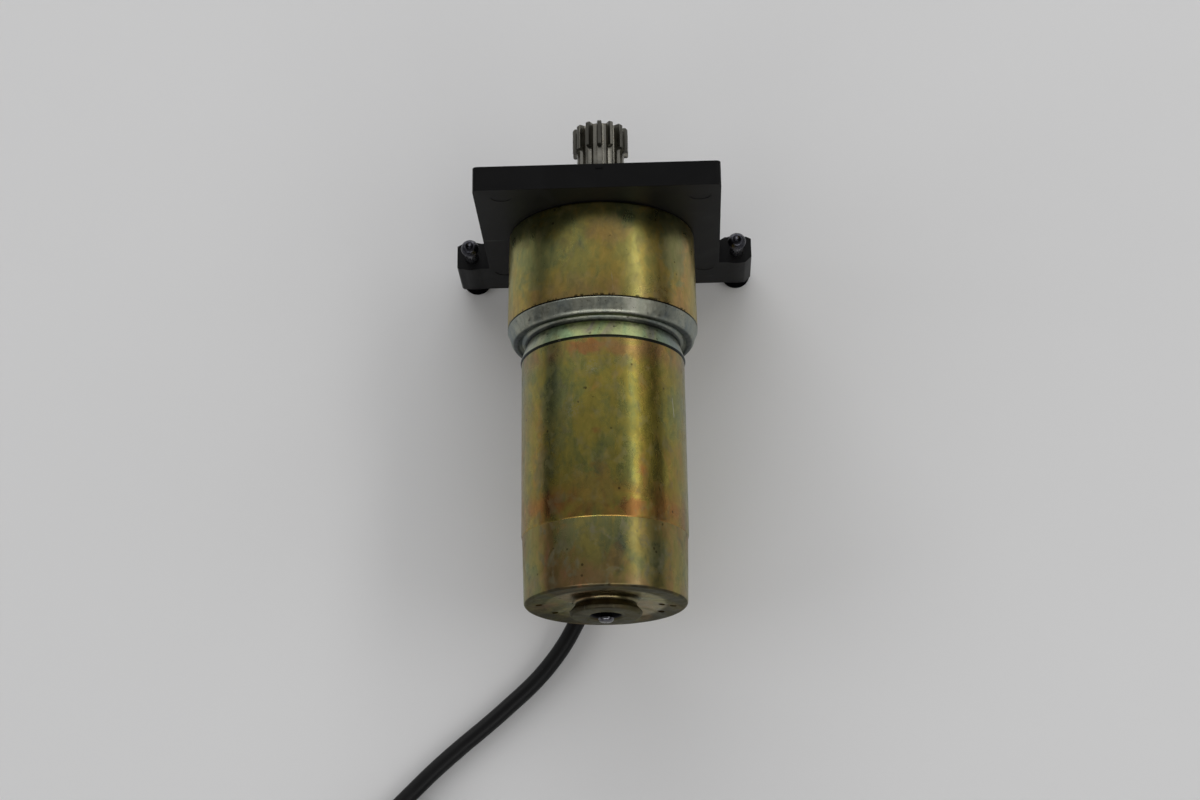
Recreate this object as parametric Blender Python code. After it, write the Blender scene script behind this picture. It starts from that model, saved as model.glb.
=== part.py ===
# Geared DC motor with a square mounting plate, lying on its plate and lead boot.
# Metres, +Z up.  The motor axis runs along Y, the output pinion faces +Y.
# Driving dimensions are in millimetres; MM turns them into metres.

import math

import bpy
import bmesh
from mathutils import Matrix, Vector

MM = 0.001

# ---------------------------------------------------------------- dimensions
AXIS_H = 37.0          # motor axis above the surface it lies on
Y_PLATE = 38.1         # world Y of the mounting plate's back face

# Along the motor axis, measured from the plate's back face (+ = forwards)
PLATE_T = 7.0
HOUSING_L = 28.0
FLANGE_L = 10.0
CAN_L = 49.4
CAP_L = 18.6
Y_FLANGE = -HOUSING_L
Y_CAN = Y_FLANGE - FLANGE_L
Y_CAP = Y_CAN - CAN_L
Y_REAR = Y_CAP - CAP_L
BOSS_H = 2.3
Y_SHAFT_END = Y_REAR - BOSS_H - 1.5
Y_PINION_FRONT = 33.6

# Radii
R_GEARHEAD = 25.5
R_HOUSING_IN = 23.8
R_MOTOR = 21.6
R_CAN_IN = 20.6
R_BAND = 21.9          # narrow rear band of the motor flange
R_BOSS = 9.0
R_BOSS_BORE = 4.8
R_SHAFT = 2.0
R_SHAFT_END = 1.3
R_OUT_SHAFT = 5.0
R_OUT_SHAFT_NOSE = 4.0
R_SPIGOT = 12.0

# Mounting plate
PLATE_HALF_W = 33.4
PLATE_TOP = 34.4
PLATE_BOTTOM = -33.9
LUG_HALF_W = 42.8
LUG_TOP = -18.6
LUG_SCREW_X = 38.5
LUG_SCREW_L = 23.4
SCREW_R = 1.95         # M4 shank
SCREW_HOLE_R = 2.25
HEAD_R = 3.5
HEAD_H = 4.0
LOW_HEAD_H = 2.8          # the lug screws have low heads
HEX_AF = 3.0
FIX_PCD = 36.0         # circle of the plate screws
CBORE_R = 3.9
CBORE_D = 4.2

# Gears (two planetary stages, ring held)
MODULE = 0.9
Z_SUN = 15
Z_PLANET = 15
Z_RING = 45
ADDENDUM = 0.8
DEDENDUM = 1.05
BACKLASH = 0.12
CENTRE = MODULE * (Z_SUN + Z_PLANET) / 2.0
PIN_R = 1.5
Y_FRONT_PLANET = (-16.4, -9.2)
Y_REAR_PLANET = (-26.6, -20.6)
PLANET_ANGLES = (90.0, 210.0, 330.0)

# Output pinion: module 1, 14 teeth, rear part turned down
PINION_Z = 14
PINION_TIP_R = 8.0
PINION_ROOT_R = 5.75
PINION_TURNED_R = 6.75
Y_PINION_STEP = 26.2
Y_PINION_BACK = 8.0

# Lead: round black cable
LEAD_D = 4.6
COIL_CENTRE = (-54.6, -186.3)
COIL_R_OUT = 26.8
COIL_R_IN = 22.2
COIL_R_TOP = 24.5
COIL_LIFT = 1.0        # the tie passes under the coil
LEAD_R = LEAD_D / 2.0
TAIL_RUN = 38.0
TAIL_BEND = 0.0024
TIE_DEG = 200.0

SEG = 40               # facets round the large shells


# ------------------------------------------------------------------- helpers
def clear_scene():
    for ob in list(bpy.data.objects):
        bpy.data.objects.remove(ob, do_unlink=True)


def material(name, rgb, rough, metal):
    mat = bpy.data.materials.new(name)
    mat.use_nodes = True
    bsdf = mat.node_tree.nodes.get("Principled BSDF")
    bsdf.inputs["Base Color"].default_value = (rgb[0], rgb[1], rgb[2], 1.0)
    bsdf.inputs["Roughness"].default_value = rough
    bsdf.inputs["Metallic"].default_value = metal
    return mat


def bore(radius, n):
    """Corner radius of an n-sided bore whose flats lie at the wanted radius."""
    return radius / math.cos(math.pi / n)


def place(name, bm, mat, x=0.0, y=0.0, z=0.0, smooth=True):
    """Turn a millimetre bmesh into an object whose origin is at (x, y, z),
    given in mm from the plate's back face on the motor axis."""
    bmesh.ops.scale(bm, vec=(MM, MM, MM), verts=bm.verts)
    bmesh.ops.recalc_face_normals(bm, faces=bm.faces)
    mesh = bpy.data.meshes.new(name)
    bm.to_mesh(mesh)
    bm.free()
    if smooth:
        mesh.shade_smooth()
        mesh.set_sharp_from_angle(angle=math.radians(35.0))
    ob = bpy.data.objects.new(name, mesh)
    bpy.context.scene.collection.objects.link(ob)
    ob.location = (x * MM, (Y_PLATE + y) * MM, (AXIS_H + z) * MM)
    if mat is not None:
        mesh.materials.append(mat)
    return ob


def cutter(ob):
    ob.hide_render = True
    ob.display_type = "WIRE"
    return ob


def boolean(ob, other, operation="DIFFERENCE"):
    mod = ob.modifiers.new(other.name, "BOOLEAN")
    mod.operation = operation
    mod.object = other
    mod.solver = "EXACT"


def lathe(profile, n=SEG):
    """Spin a profile of (radius, y) points round the Y axis.  A profile whose
    ends have radius 0 makes a solid; a closed loop of points makes a ring."""
    bm = bmesh.new()
    verts = [bm.verts.new((r, y, 0.0)) for r, y in profile]
    solid = profile[0][0] == 0.0 and profile[-1][0] == 0.0
    edges = [bm.edges.new((a, b)) for a, b in zip(verts, verts[1:])]
    if not solid:
        edges.append(bm.edges.new((verts[-1], verts[0])))
    bmesh.ops.spin(bm, geom=verts + edges, axis=(0, 1, 0), cent=(0, 0, 0),
                   angle=2.0 * math.pi, steps=n, use_merge=True)
    bmesh.ops.remove_doubles(bm, verts=bm.verts, dist=1e-4)
    return bm


def circle(r, n, cx=0.0, cz=0.0, phase=0.0):
    return [(cx + r * math.cos(phase + 2.0 * math.pi * i / n),
             cz + r * math.sin(phase + 2.0 * math.pi * i / n)) for i in range(n)]


def prism(loops, y0, y1):
    """Extrude flat loops of (x, z) points from y0 to y1.  The first loop is
    the outline, the others are holes."""
    bm = bmesh.new()
    edges = []
    for loop in loops:
        vs = [bm.verts.new((x, y0, z)) for x, z in loop]
        edges += [bm.edges.new((vs[i], vs[(i + 1) % len(vs)]))
                  for i in range(len(vs))]
    res = bmesh.ops.triangle_fill(bm, use_beauty=True, edges=edges)
    faces = [g for g in res["geom"] if isinstance(g, bmesh.types.BMFace)]
    ext = bmesh.ops.extrude_face_region(bm, geom=faces)
    moved = [g for g in ext["geom"] if isinstance(g, bmesh.types.BMVert)]
    bmesh.ops.translate(bm, vec=(0.0, y1 - y0, 0.0), verts=moved)
    bmesh.ops.recalc_face_normals(bm, faces=bm.faces)
    return bm


def box(x0, x1, y0, y1, z0, z1):
    bm = bmesh.new()
    bmesh.ops.create_cube(bm, size=1.0)
    for v in bm.verts:
        v.co.x = x0 if v.co.x < 0 else x1
        v.co.y = y0 if v.co.y < 0 else y1
        v.co.z = z0 if v.co.z < 0 else z1
    return bm


def join(*parts):
    """Several closed bodies in one helper mesh."""
    out = bmesh.new()
    for part in parts:
        me = bpy.data.meshes.new("tmp")
        part.to_mesh(me)
        part.free()
        out.from_mesh(me)
        bpy.data.meshes.remove(me)
    return out


def rod(r, n, y0, y1, cx=0.0, cz=0.0):
    return prism([circle(r, n, cx, cz)], y0, y1)


def turn(bm, angle_deg, axis):
    bmesh.ops.rotate(bm, cent=(0, 0, 0), verts=bm.verts,
                     matrix=Matrix.Rotation(math.radians(angle_deg), 3, axis))
    return bm


def shift(bm, x, y, z):
    bmesh.ops.translate(bm, verts=bm.verts, vec=(x, y, z))
    return bm


def inv(angle):
    return math.tan(angle) - angle


def gear_loop(module, z, tip_r, root_r, thin, start):
    """Outline of an external involute gear.  A tooth is centred on the angle
    start (radians)."""
    r = module * z / 2.0
    rb = r * math.cos(math.radians(20.0))
    half = math.pi / (2.0 * z) - thin / (2.0 * r)
    base_half = half + inv(math.radians(20.0))

    def half_at(rr):
        if rr <= rb:
            return base_half
        return base_half - inv(math.acos(rb / rr))

    pts = []
    for k in range(z):
        c = start + 2.0 * math.pi * k / z
        for sign, order in ((-1.0, (root_r, r, tip_r)), (1.0, (tip_r, r, root_r))):
            for rr in order:
                a = c + sign * half_at(rr)
                pts.append((rr * math.cos(a), rr * math.sin(a)))
    return pts


def ring_gear_loop(module, z, tip_r, root_r, thin, start):
    """Inner outline of the ring gear.  A gap is centred on start."""
    r = module * z / 2.0
    rb = r * math.cos(math.radians(20.0))
    gap_half = math.pi / (2.0 * z) + thin / (2.0 * r)
    base_half = gap_half + inv(math.radians(20.0))

    def half_at(rr):
        return base_half - inv(math.acos(min(1.0, rb / rr)))

    pts = []
    for k in range(z):
        c = start + 2.0 * math.pi * k / z
        for sign, order in ((-1.0, (tip_r, root_r)), (1.0, (root_r, tip_r))):
            for rr in order:
                a = c + sign * half_at(rr)
                pts.append((rr * math.cos(a), rr * math.sin(a)))
    return pts


def tooth_loop(z, radii_half, start):
    """Outline with z teeth from (radius, half width) pairs, root first."""
    pts = []
    for k in range(z):
        c = start + 2.0 * math.pi * k / z
        for sign, order in ((-1.0, radii_half), (1.0, radii_half[::-1])):
            for rr, hw in order:
                a = c + sign * math.asin(hw / rr)
                pts.append((rr * math.cos(a), rr * math.sin(a)))
    return pts


def smooth_path(points, step):
    """Points about one step apart on a Catmull-Rom curve through the given
    3-D points."""
    pts = [Vector(p) for p in points]
    ext = [pts[0] * 2 - pts[1]] + pts + [pts[-1] * 2 - pts[-2]]
    fine = []
    for i in range(1, len(ext) - 2):
        p0, p1, p2, p3 = ext[i - 1:i + 3]
        for k in range(24):
            t = k / 24.0
            fine.append(0.5 * ((2 * p1) + (p2 - p0) * t
                               + (2 * p0 - 5 * p1 + 4 * p2 - p3) * t * t
                               + (3 * p1 - p0 - 3 * p2 + p3) * t * t * t))
    fine.append(pts[-1])
    dist = [0.0]
    for a, b in zip(fine, fine[1:]):
        dist.append(dist[-1] + (b - a).length)
    n = max(2, int(round(dist[-1] / step)))
    out, j = [], 0
    for k in range(n + 1):
        want = dist[-1] * k / n
        while j < len(dist) - 2 and dist[j + 1] < want:
            j += 1
        t = (want - dist[j]) / max(1e-9, dist[j + 1] - dist[j])
        out.append(fine[j].lerp(fine[j + 1], min(1.0, max(0.0, t))))
    return out


def tube_curve(name, points, radius, mat, resolution=2):
    """A cable as a poly curve.  Points are in mm: x, y from the plate's back
    face, z above the surface the motor lies on."""
    cu = bpy.data.curves.new(name, "CURVE")
    cu.dimensions = "3D"
    cu.bevel_depth = radius * MM
    cu.bevel_resolution = resolution
    cu.use_fill_caps = True
    cu.render_resolution_u = 0
    sp = cu.splines.new("POLY")
    sp.points.add(len(points) - 1)
    for p, q in zip(sp.points, points):
        p.co = (q[0] * MM, (Y_PLATE + q[1]) * MM, q[2] * MM, 1.0)
    ob = bpy.data.objects.new(name, cu)
    bpy.context.scene.collection.objects.link(ob)
    cu.materials.append(mat)
    return ob


def sweep(points, radii, n):
    """A solid swept along points (mm, z from the motor axis) with a radius at
    each point."""
    bm = bmesh.new()
    pts = [Vector(p) for p in points]
    rings = []
    side = None
    for i, p in enumerate(pts):
        d = (pts[min(i + 1, len(pts) - 1)] - pts[max(i - 1, 0)]).normalized()
        if side is None:
            side = Vector((1, 0, 0))
        side = (side - d * side.dot(d)).normalized()
        up = d.cross(side)
        rings.append([bm.verts.new(p + (side * math.cos(2 * math.pi * k / n)
                                        + up * math.sin(2 * math.pi * k / n)) * radii[i])
                      for k in range(n)])
    for a, b in zip(rings, rings[1:]):
        for k in range(n):
            bm.faces.new((a[k], a[(k + 1) % n], b[(k + 1) % n], b[k]))
    bm.faces.new(rings[0][::-1])
    bm.faces.new(rings[-1])
    bmesh.ops.recalc_face_normals(bm, faces=bm.faces)
    return bm


# ----------------------------------------------------------------- materials
def build_materials():
    m = {}
    m["plate"] = material("plate_plastic", (0.018, 0.018, 0.019), 0.45, 0.0)
    m["chromate"] = material("yellow_chromate", (0.46, 0.36, 0.13), 0.32, 1.0)
    m["zinc"] = material("bright_zinc", (0.50, 0.54, 0.52), 0.28, 1.0)
    m["steel"] = material("machined_steel", (0.48, 0.47, 0.44), 0.30, 1.0)
    m["black_steel"] = material("black_screw_steel", (0.05, 0.05, 0.055), 0.35, 1.0)
    m["bronze"] = material("sintered_bronze", (0.42, 0.26, 0.12), 0.45, 1.0)
    m["brass"] = material("brass", (0.62, 0.45, 0.16), 0.30, 1.0)
    m["magnet"] = material("ferrite", (0.05, 0.05, 0.055), 0.6, 0.0)
    m["laminate"] = material("laminated_steel", (0.22, 0.22, 0.23), 0.45, 1.0)
    m["copper"] = material("enamelled_copper", (0.50, 0.20, 0.07), 0.35, 1.0)
    m["card"] = material("brush_card_board", (0.28, 0.16, 0.08), 0.6, 0.0)
    m["carbon"] = material("carbon", (0.03, 0.03, 0.03), 0.7, 0.0)
    m["cable"] = material("cable_jacket", (0.012, 0.012, 0.013), 0.5, 0.0)
    m["red"] = material("lead_red", (0.45, 0.02, 0.02), 0.45, 0.0)
    m["tie"] = material("tie_nylon", (0.02, 0.02, 0.02), 0.4, 0.0)
    m["connector"] = material("connector_nylon", (0.75, 0.73, 0.66), 0.45, 0.0)
    return m


# --------------------------------------------------------------------- parts
def cap_screw(length, n=12, head=HEAD_H):
    """Socket-head screw along Y: head from y = 0 to its height, shank to -length."""
    return lathe([(0.0, head), (HEAD_R - 0.3, head), (HEAD_R, head - 0.3),
                  (HEAD_R, 0.0), (SCREW_R, 0.0), (SCREW_R, -length + 0.5),
                  (SCREW_R - 0.45, -length), (0.0, -length)], n)


def hex_cutter(head=HEAD_H, depth=2.2):
    return prism([circle(HEX_AF / math.sqrt(3.0), 6)], head - depth, head + 1.0)


def build_plate(m):
    w, t, b = PLATE_HALF_W, PLATE_TOP, PLATE_BOTTOM
    lw, lt = LUG_HALF_W, LUG_TOP
    r = 1.3
    outline = []

    def corner(cx, cz, a0, rad, steps=3):
        for k in range(steps + 1):
            a = math.radians(a0 + 90.0 * k / steps)
            outline.append((cx + rad * math.cos(a), cz + rad * math.sin(a)))

    corner(w - r, t - r, 0.0, r)
    corner(-w + r, t - r, 90.0, r)
    outline.append((-w, lt))
    corner(-lw + 0.8, lt - 0.8, 90.0, 0.8, 2)
    corner(-lw + 0.8, b + 0.8, 180.0, 0.8, 2)
    corner(lw - 0.8, b + 0.8, 270.0, 0.8, 2)
    corner(lw - 0.8, lt - 0.8, 0.0, 0.8, 2)
    outline.append((w, lt))
    loops = [outline, circle(R_SPIGOT + 0.3, 32)]
    for k in range(4):
        a = math.radians(45.0 + 90.0 * k)
        loops.append(circle(SCREW_HOLE_R, 12, FIX_PCD / 2 * math.cos(a),
                            FIX_PCD / 2 * math.sin(a)))
    ob = place("mounting_plate", prism(loops, 0.0, PLATE_T), m["plate"])
    cuts = []
    for k in range(4):
        a = math.radians(45.0 + 90.0 * k)
        cuts.append(rod(CBORE_R, 16, PLATE_T - CBORE_D, PLATE_T + 1.0,
                        FIX_PCD / 2 * math.cos(a), FIX_PCD / 2 * math.sin(a)))
    for sx in (-1, 1):
        hole = turn(rod(SCREW_HOLE_R, 12, 0.0, 20.0), 90.0, "X")
        cuts.append(shift(hole, sx * LUG_SCREW_X, PLATE_T / 2.0, PLATE_BOTTOM - 2.0))
    boolean(ob, cutter(place("plate_cuts", join(*cuts), None)))


def build_screws(m):
    # lug screws stand upright, heads under the lugs
    for sx, name in ((-1, "lug_screw_left"), (1, "lug_screw_right")):
        bm = turn(cap_screw(LUG_SCREW_L, head=LOW_HEAD_H), -90.0, "X")
        hex_bm = turn(hex_cutter(LOW_HEAD_H, 1.5), -90.0, "X")
        x, y, z = sx * LUG_SCREW_X, PLATE_T / 2.0, PLATE_BOTTOM - 0.3
        ob = place(name, bm, m["black_steel"], x, y, z)
        cut = cutter(place(name + "_socket", hex_bm, None, x, y, z))
        boolean(ob, cut)
    # plate screws, heads sunk in the plate's front
    for k in range(4):
        a = math.radians(45.0 + 90.0 * k)
        x, z = FIX_PCD / 2 * math.cos(a), FIX_PCD / 2 * math.sin(a)
        y = PLATE_T - CBORE_D + 0.3
        ob = place("plate_screw_%d" % (k + 1), cap_screw(6.8), m["black_steel"], x, y, z)
        cut = cutter(place("plate_screw_%d_socket" % (k + 1), hex_cutter(), None, x, y, z))
        boolean(ob, cut)


def build_housing(m):
    bush_hole = bore(8.3, 32)
    prof = [(bush_hole, 5.0), (R_SPIGOT - 0.4, 5.0), (R_SPIGOT, 4.6), (R_SPIGOT, -0.3),
            (R_GEARHEAD - 0.5, -0.3), (R_GEARHEAD, -0.8),
            (R_GEARHEAD, -HOUSING_L + 0.15), (R_HOUSING_IN, -HOUSING_L + 0.15),
            (R_HOUSING_IN, -4.6), (bush_hole, -4.6)]
    ob = place("gear_housing", lathe(prof), m["chromate"])
    holes = []
    for k in range(4):
        a = math.radians(45.0 + 90.0 * k)
        holes.append(rod(SCREW_HOLE_R, 12, -6.0, 1.0, FIX_PCD / 2 * math.cos(a),
                         FIX_PCD / 2 * math.sin(a)))
    boolean(ob, cutter(place("housing_screw_holes", join(*holes), None)))
    # sintered bush in the front wall
    place("output_bush",
          lathe([(bore(R_OUT_SHAFT + 0.05, 32), 4.7), (8.0, 4.7), (8.0, -4.4),
                 (bore(R_OUT_SHAFT + 0.05, 32), -4.4)], 32), m["bronze"])


def build_output(m):
    n = 32
    shaft = lathe([(0.0, Y_PINION_FRONT - 0.2), (R_OUT_SHAFT_NOSE - 0.4, Y_PINION_FRONT - 0.2),
                   (R_OUT_SHAFT_NOSE, Y_PINION_FRONT - 0.6),
                   (R_OUT_SHAFT_NOSE, Y_PINION_BACK - 0.3),
                   (R_OUT_SHAFT, Y_PINION_BACK - 0.3), (R_OUT_SHAFT, 6.0),
                   (4.4, 6.0), (4.4, 5.2), (R_OUT_SHAFT, 5.2),
                   (R_OUT_SHAFT, -5.7), (17.0, -5.7), (17.0, -8.7), (0.0, -8.7)], n)
    ob = place("output_shaft", shaft, m["steel"])
    holes = [rod(PIN_R + 0.3, 12, -10.0, -4.0, *polar(CENTRE, a)) for a in PLANET_ANGLES]
    boolean(ob, cutter(place("output_pin_holes", join(*holes), None)))
    # snap ring in the shaft groove
    ring = []
    gap = math.radians(28.0)
    steps = 20
    for k in range(steps + 1):
        a = -math.pi / 2 + gap + (2 * math.pi - 2 * gap) * k / steps
        ring.append((6.6 * math.cos(a), 6.6 * math.sin(a)))
    for k in range(steps, -1, -1):
        a = -math.pi / 2 + gap + (2 * math.pi - 2 * gap) * k / steps
        ring.append((4.7 * math.cos(a), 4.7 * math.sin(a)))
    place("output_snap_ring", prism([ring], 5.3, 5.9), m["black_steel"])
    # thrust washer between carrier and front wall
    place("thrust_washer", lathe([(5.4, -4.9), (9.5, -4.9), (9.5, -5.4), (5.4, -5.4)], 24),
          m["bronze"])
    # output pinion: one gear, rear part turned down to just above its roots
    front = tooth_loop(PINION_Z, [(PINION_ROOT_R, 0.98), (7.0, 0.82), (PINION_TIP_R, 0.60)],
                       math.pi / 2)
    rear = tooth_loop(PINION_Z, [(PINION_ROOT_R, 0.98), (PINION_TURNED_R, 0.86),
                                 (PINION_TURNED_R, 0.86)], math.pi / 2)
    bm = bmesh.new()
    hole = circle(bore(R_OUT_SHAFT_NOSE + 0.3, 24), 24)
    rows = []
    for loop, y in ((rear, Y_PINION_BACK), (rear, Y_PINION_STEP), (front, Y_PINION_STEP),
                    (front, Y_PINION_FRONT)):
        rows.append([bm.verts.new((x, y, z)) for x, z in loop])
    cnt = len(front)
    for a, b in zip(rows, rows[1:]):
        for k in range(cnt):
            quad = (a[k], a[(k + 1) % cnt], b[(k + 1) % cnt], b[k])
            bm.faces.new(quad)
    back = [bm.verts.new((x, Y_PINION_BACK, z)) for x, z in hole]
    nose = [bm.verts.new((x, Y_PINION_FRONT, z)) for x, z in hole]
    for k in range(24):
        bm.faces.new((back[(k + 1) % 24], back[k], nose[k], nose[(k + 1) % 24]))
    for outer, inner in ((rows[0], back), (rows[-1], nose)):
        edges = []
        for vs in (outer, inner):
            for k in range(len(vs)):
                edges.append(bm.edges.get((vs[k], vs[(k + 1) % len(vs)])))
        bmesh.ops.triangle_fill(bm, use_beauty=True, edges=edges)
    bmesh.ops.remove_doubles(bm, verts=bm.verts, dist=1e-4)
    bmesh.ops.dissolve_degenerate(bm, edges=bm.edges, dist=1e-5)
    place("output_pinion", bm, m["steel"])


def polar(r, deg):
    return (r * math.cos(math.radians(deg)), r * math.sin(math.radians(deg)))


def build_gears(m):
    sun_r = MODULE * Z_SUN / 2.0
    ring_r = MODULE * Z_RING / 2.0
    # ring gear pressed in the housing; a gap faces each planet outwards
    teeth = ring_gear_loop(MODULE, Z_RING, ring_r - ADDENDUM, ring_r + DEDENDUM,
                           BACKLASH, math.radians(PLANET_ANGLES[0]))
    place("ring_gear", prism([circle(23.5, SEG), teeth], -27.2, -8.9), m["steel"])
    # planets: a gap faces the sun
    for stage, (y0, y1) in (("front", Y_FRONT_PLANET), ("rear", Y_REAR_PLANET)):
        for k, deg in enumerate(PLANET_ANGLES):
            x, z = polar(CENTRE, deg)
            loop = gear_loop(MODULE, Z_PLANET, sun_r + ADDENDUM, sun_r - DEDENDUM,
                             BACKLASH, math.radians(deg))
            hole = circle(bore(PIN_R + 0.06, 12), 12)
            place("planet_%s_%d" % (stage, k + 1), prism([loop, hole], y0, y1),
                  m["steel"], x, 0.0, z)
            pin_front = -5.9 if stage == "front" else -17.3
            place("planet_pin_%s_%d" % (stage, k + 1),
                  rod(PIN_R, 12, y0 - 0.05, pin_front), m["steel"], x, 0.0, z)
    # middle carrier with the second stage's sun in one piece
    start = math.radians(PLANET_ANGLES[0])
    disc = lathe([(0.0, -17.0), (16.6, -17.0), (16.6, -20.0), (0.0, -20.0)], 32)
    ob = place("middle_carrier", disc, m["steel"])
    holes = [rod(PIN_R + 0.3, 12, -22.0, -16.0, *polar(CENTRE, a)) for a in PLANET_ANGLES]
    boolean(ob, cutter(place("middle_pin_holes", join(*holes), None)))
    sun = prism([gear_loop(MODULE, Z_SUN, sun_r + ADDENDUM, sun_r - DEDENDUM, BACKLASH,
                           start)], -18.0, -9.1)
    boolean(ob, cutter(place("middle_sun", sun, None)), "UNION")
    # motor pinion = first sun
    loop = gear_loop(MODULE, Z_SUN, sun_r + ADDENDUM, sun_r - DEDENDUM, BACKLASH, start)
    place("motor_pinion", prism([loop, circle(bore(R_SHAFT + 0.3, 16), 16)], -27.0, -20.4),
          m["brass"])


def build_flange(m):
    hub = bore(R_SHAFT + 0.9, SEG)
    seat = bore(6.8, SEG)
    y0, y1 = Y_FLANGE - 0.15, Y_CAN + 0.15
    prof = [(hub, y0), (R_GEARHEAD - 0.2, y0), (R_GEARHEAD, y0 - 0.2),
            (R_GEARHEAD, y0 - 3.4), (R_GEARHEAD - 0.25, y0 - 4.1), (R_GEARHEAD - 0.9, y0 - 4.6),
            (R_BAND + 0.5, y0 - 4.8), (R_BAND, y0 - 5.3), (R_BAND, y1),
            (R_CAN_IN - 0.3, y1), (R_CAN_IN - 0.3, y1 - 2.2), (17.0, y1 - 2.2),
            # the bearing seat opens towards the motor
            (17.0, y1 + 1.0), (seat, y1 + 1.0), (seat, y1 + 6.6), (hub, y1 + 6.6)]
    place("motor_flange", lathe(prof), m["zinc"])
    place("front_bearing",
          lathe([(bore(R_SHAFT + 0.05, 24), y1 + 6.3), (6.5, y1 + 6.3), (6.5, y1 + 1.3),
                 (bore(R_SHAFT + 0.05, 24), y1 + 1.3)], 24), m["steel"])


def build_can(m):
    place("motor_can",
          lathe([(R_MOTOR, Y_CAN - 0.15), (R_MOTOR, Y_CAP + 0.15),
                 (R_CAN_IN, Y_CAP + 0.15), (R_CAN_IN, Y_CAN - 0.15)]), m["chromate"])
    y0 = Y_CAP - 0.15
    seat = bore(6.0, SEG)
    prof = [(R_MOTOR, y0), (R_MOTOR, Y_REAR + 0.8), (R_MOTOR - 0.8, Y_REAR),
            (R_BOSS, Y_REAR), (R_BOSS, Y_REAR - BOSS_H + 0.3),
            (R_BOSS - 0.3, Y_REAR - BOSS_H), (R_BOSS_BORE, Y_REAR - BOSS_H),
            (R_BOSS_BORE, Y_REAR - 0.2), (seat, Y_REAR - 0.2), (seat, Y_REAR + 4.3),
            (8.0, Y_REAR + 4.3), (8.0, Y_REAR + 3.0), (19.4, Y_REAR + 3.0), (19.4, Y_CAP + 2.0),
            (R_CAN_IN - 0.3, Y_CAP + 2.0), (R_CAN_IN - 0.3, y0)]
    ob = place("rear_cap", lathe(prof), m["chromate"])
    cuts = [rod(0.75, 10, Y_REAR - 0.5, Y_REAR + 1.2, 0.1, 12.6)]
    for x, z in ((14.8, -1.4), (17.8, -2.0), (14.6, -8.6), (-17.7, 1.4), (-14.0, -7.8)):
        cuts.append(rod(0.9, 10, Y_REAR - 0.5, Y_REAR + 1.0, x, z))
    boolean(ob, cutter(place("cap_drillings", join(*cuts), None)))
    hole = turn(rod(4.5, 20, 12.0, 26.0), -90.0, "X")
    hole = turn(hole, BOOT_TILT, "Y")
    boolean(ob, cutter(place("cap_lead_hole", shift(hole, 0.0, BOOT_Y, 0.0), None)))
    place("rear_bearing",
          lathe([(bore(R_SHAFT + 0.05, 24), Y_REAR + 0.1), (5.7, Y_REAR + 0.1),
                 (5.7, Y_REAR + 4.1), (bore(R_SHAFT + 0.05, 24), Y_REAR + 4.1)][::-1], 24),
          m["steel"])


def build_rotor(m):
    n = 16
    place("motor_shaft",
          lathe([(0.0, -20.3), (R_SHAFT - 0.3, -20.3), (R_SHAFT, -20.6),
                 (R_SHAFT, Y_REAR + 0.0), (R_SHAFT_END, Y_REAR - 0.3),
                 (R_SHAFT_END, Y_SHAFT_END + 0.4), (R_SHAFT_END - 0.4, Y_SHAFT_END),
                 (0.0, Y_SHAFT_END)], n), m["steel"])
    # laminated core, seven slots with narrow mouths
    slots = 7
    loop = []
    ro, rt, rs = 15.6, 14.2, 7.0
    for k in range(slots):
        c = 2 * math.pi * k / slots
        half = math.pi / slots
        mouth = 0.9 / ro
        for a in (-half + mouth, -half * 0.5, 0.0, half * 0.5, half - mouth):
            loop.append((ro * math.cos(c + a), ro * math.sin(c + a)))
        stem = 2.0
        for r_, hw in ((rt, half * rt - 0.9), (rt - 1.1, stem + 0.2), (rs, stem)):
            a = hw / r_
            loop.append((r_ * math.cos(c + a), r_ * math.sin(c + a)))
        c2 = c + 2 * math.pi / slots
        for r_, hw in ((rs, stem), (rt - 1.1, stem + 0.2), (rt, half * rt - 0.9)):
            a = -hw / r_
            loop.append((r_ * math.cos(c2 + a), r_ * math.sin(c2 + a)))
    hole = circle(bore(R_SHAFT + 0.3, 16), 16)
    place("rotor_core", prism([loop, hole], -78.0, -48.0), m["laminate"])
    # winding: a bundle through each slot, joined by a ring of end turns at each end
    front = lathe([(4.0, -44.0), (12.5, -43.0), (13.6, -44.5), (13.6, -47.6), (4.0, -47.6)], 28)
    back = lathe([(4.0, -78.4), (13.6, -78.4), (13.6, -81.5), (12.5, -83.0), (4.0, -82.0)], 28)
    bars = []
    for k in range(slots):
        c = 2 * math.pi * (k + 0.5) / slots
        bar = prism([[(7.9, -0.75), (10.2, -1.35), (12.9, -2.3), (12.9, 2.3),
                      (10.2, 1.35), (7.9, 0.75)]], -80.0, -46.0)
        bmesh.ops.rotate(bar, cent=(0, 0, 0), verts=bar.verts,
                         matrix=Matrix.Rotation(-c, 3, "Y"))
        bars.append(bar)
    ob = place("armature_winding", front, m["copper"])
    boolean(ob, cutter(place("winding_bars", join(*bars), None)), "UNION")
    boolean(ob, cutter(place("winding_rear_turns", back, None)), "UNION")
    place("commutator",
          lathe([(bore(R_SHAFT + 0.3, 16), -84.0), (7.6, -84.0), (7.6, -85.4),
                 (6.2, -85.8), (6.2, -93.0), (bore(R_SHAFT + 0.3, 16), -93.0)], 16),
          m["brass"])


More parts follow.
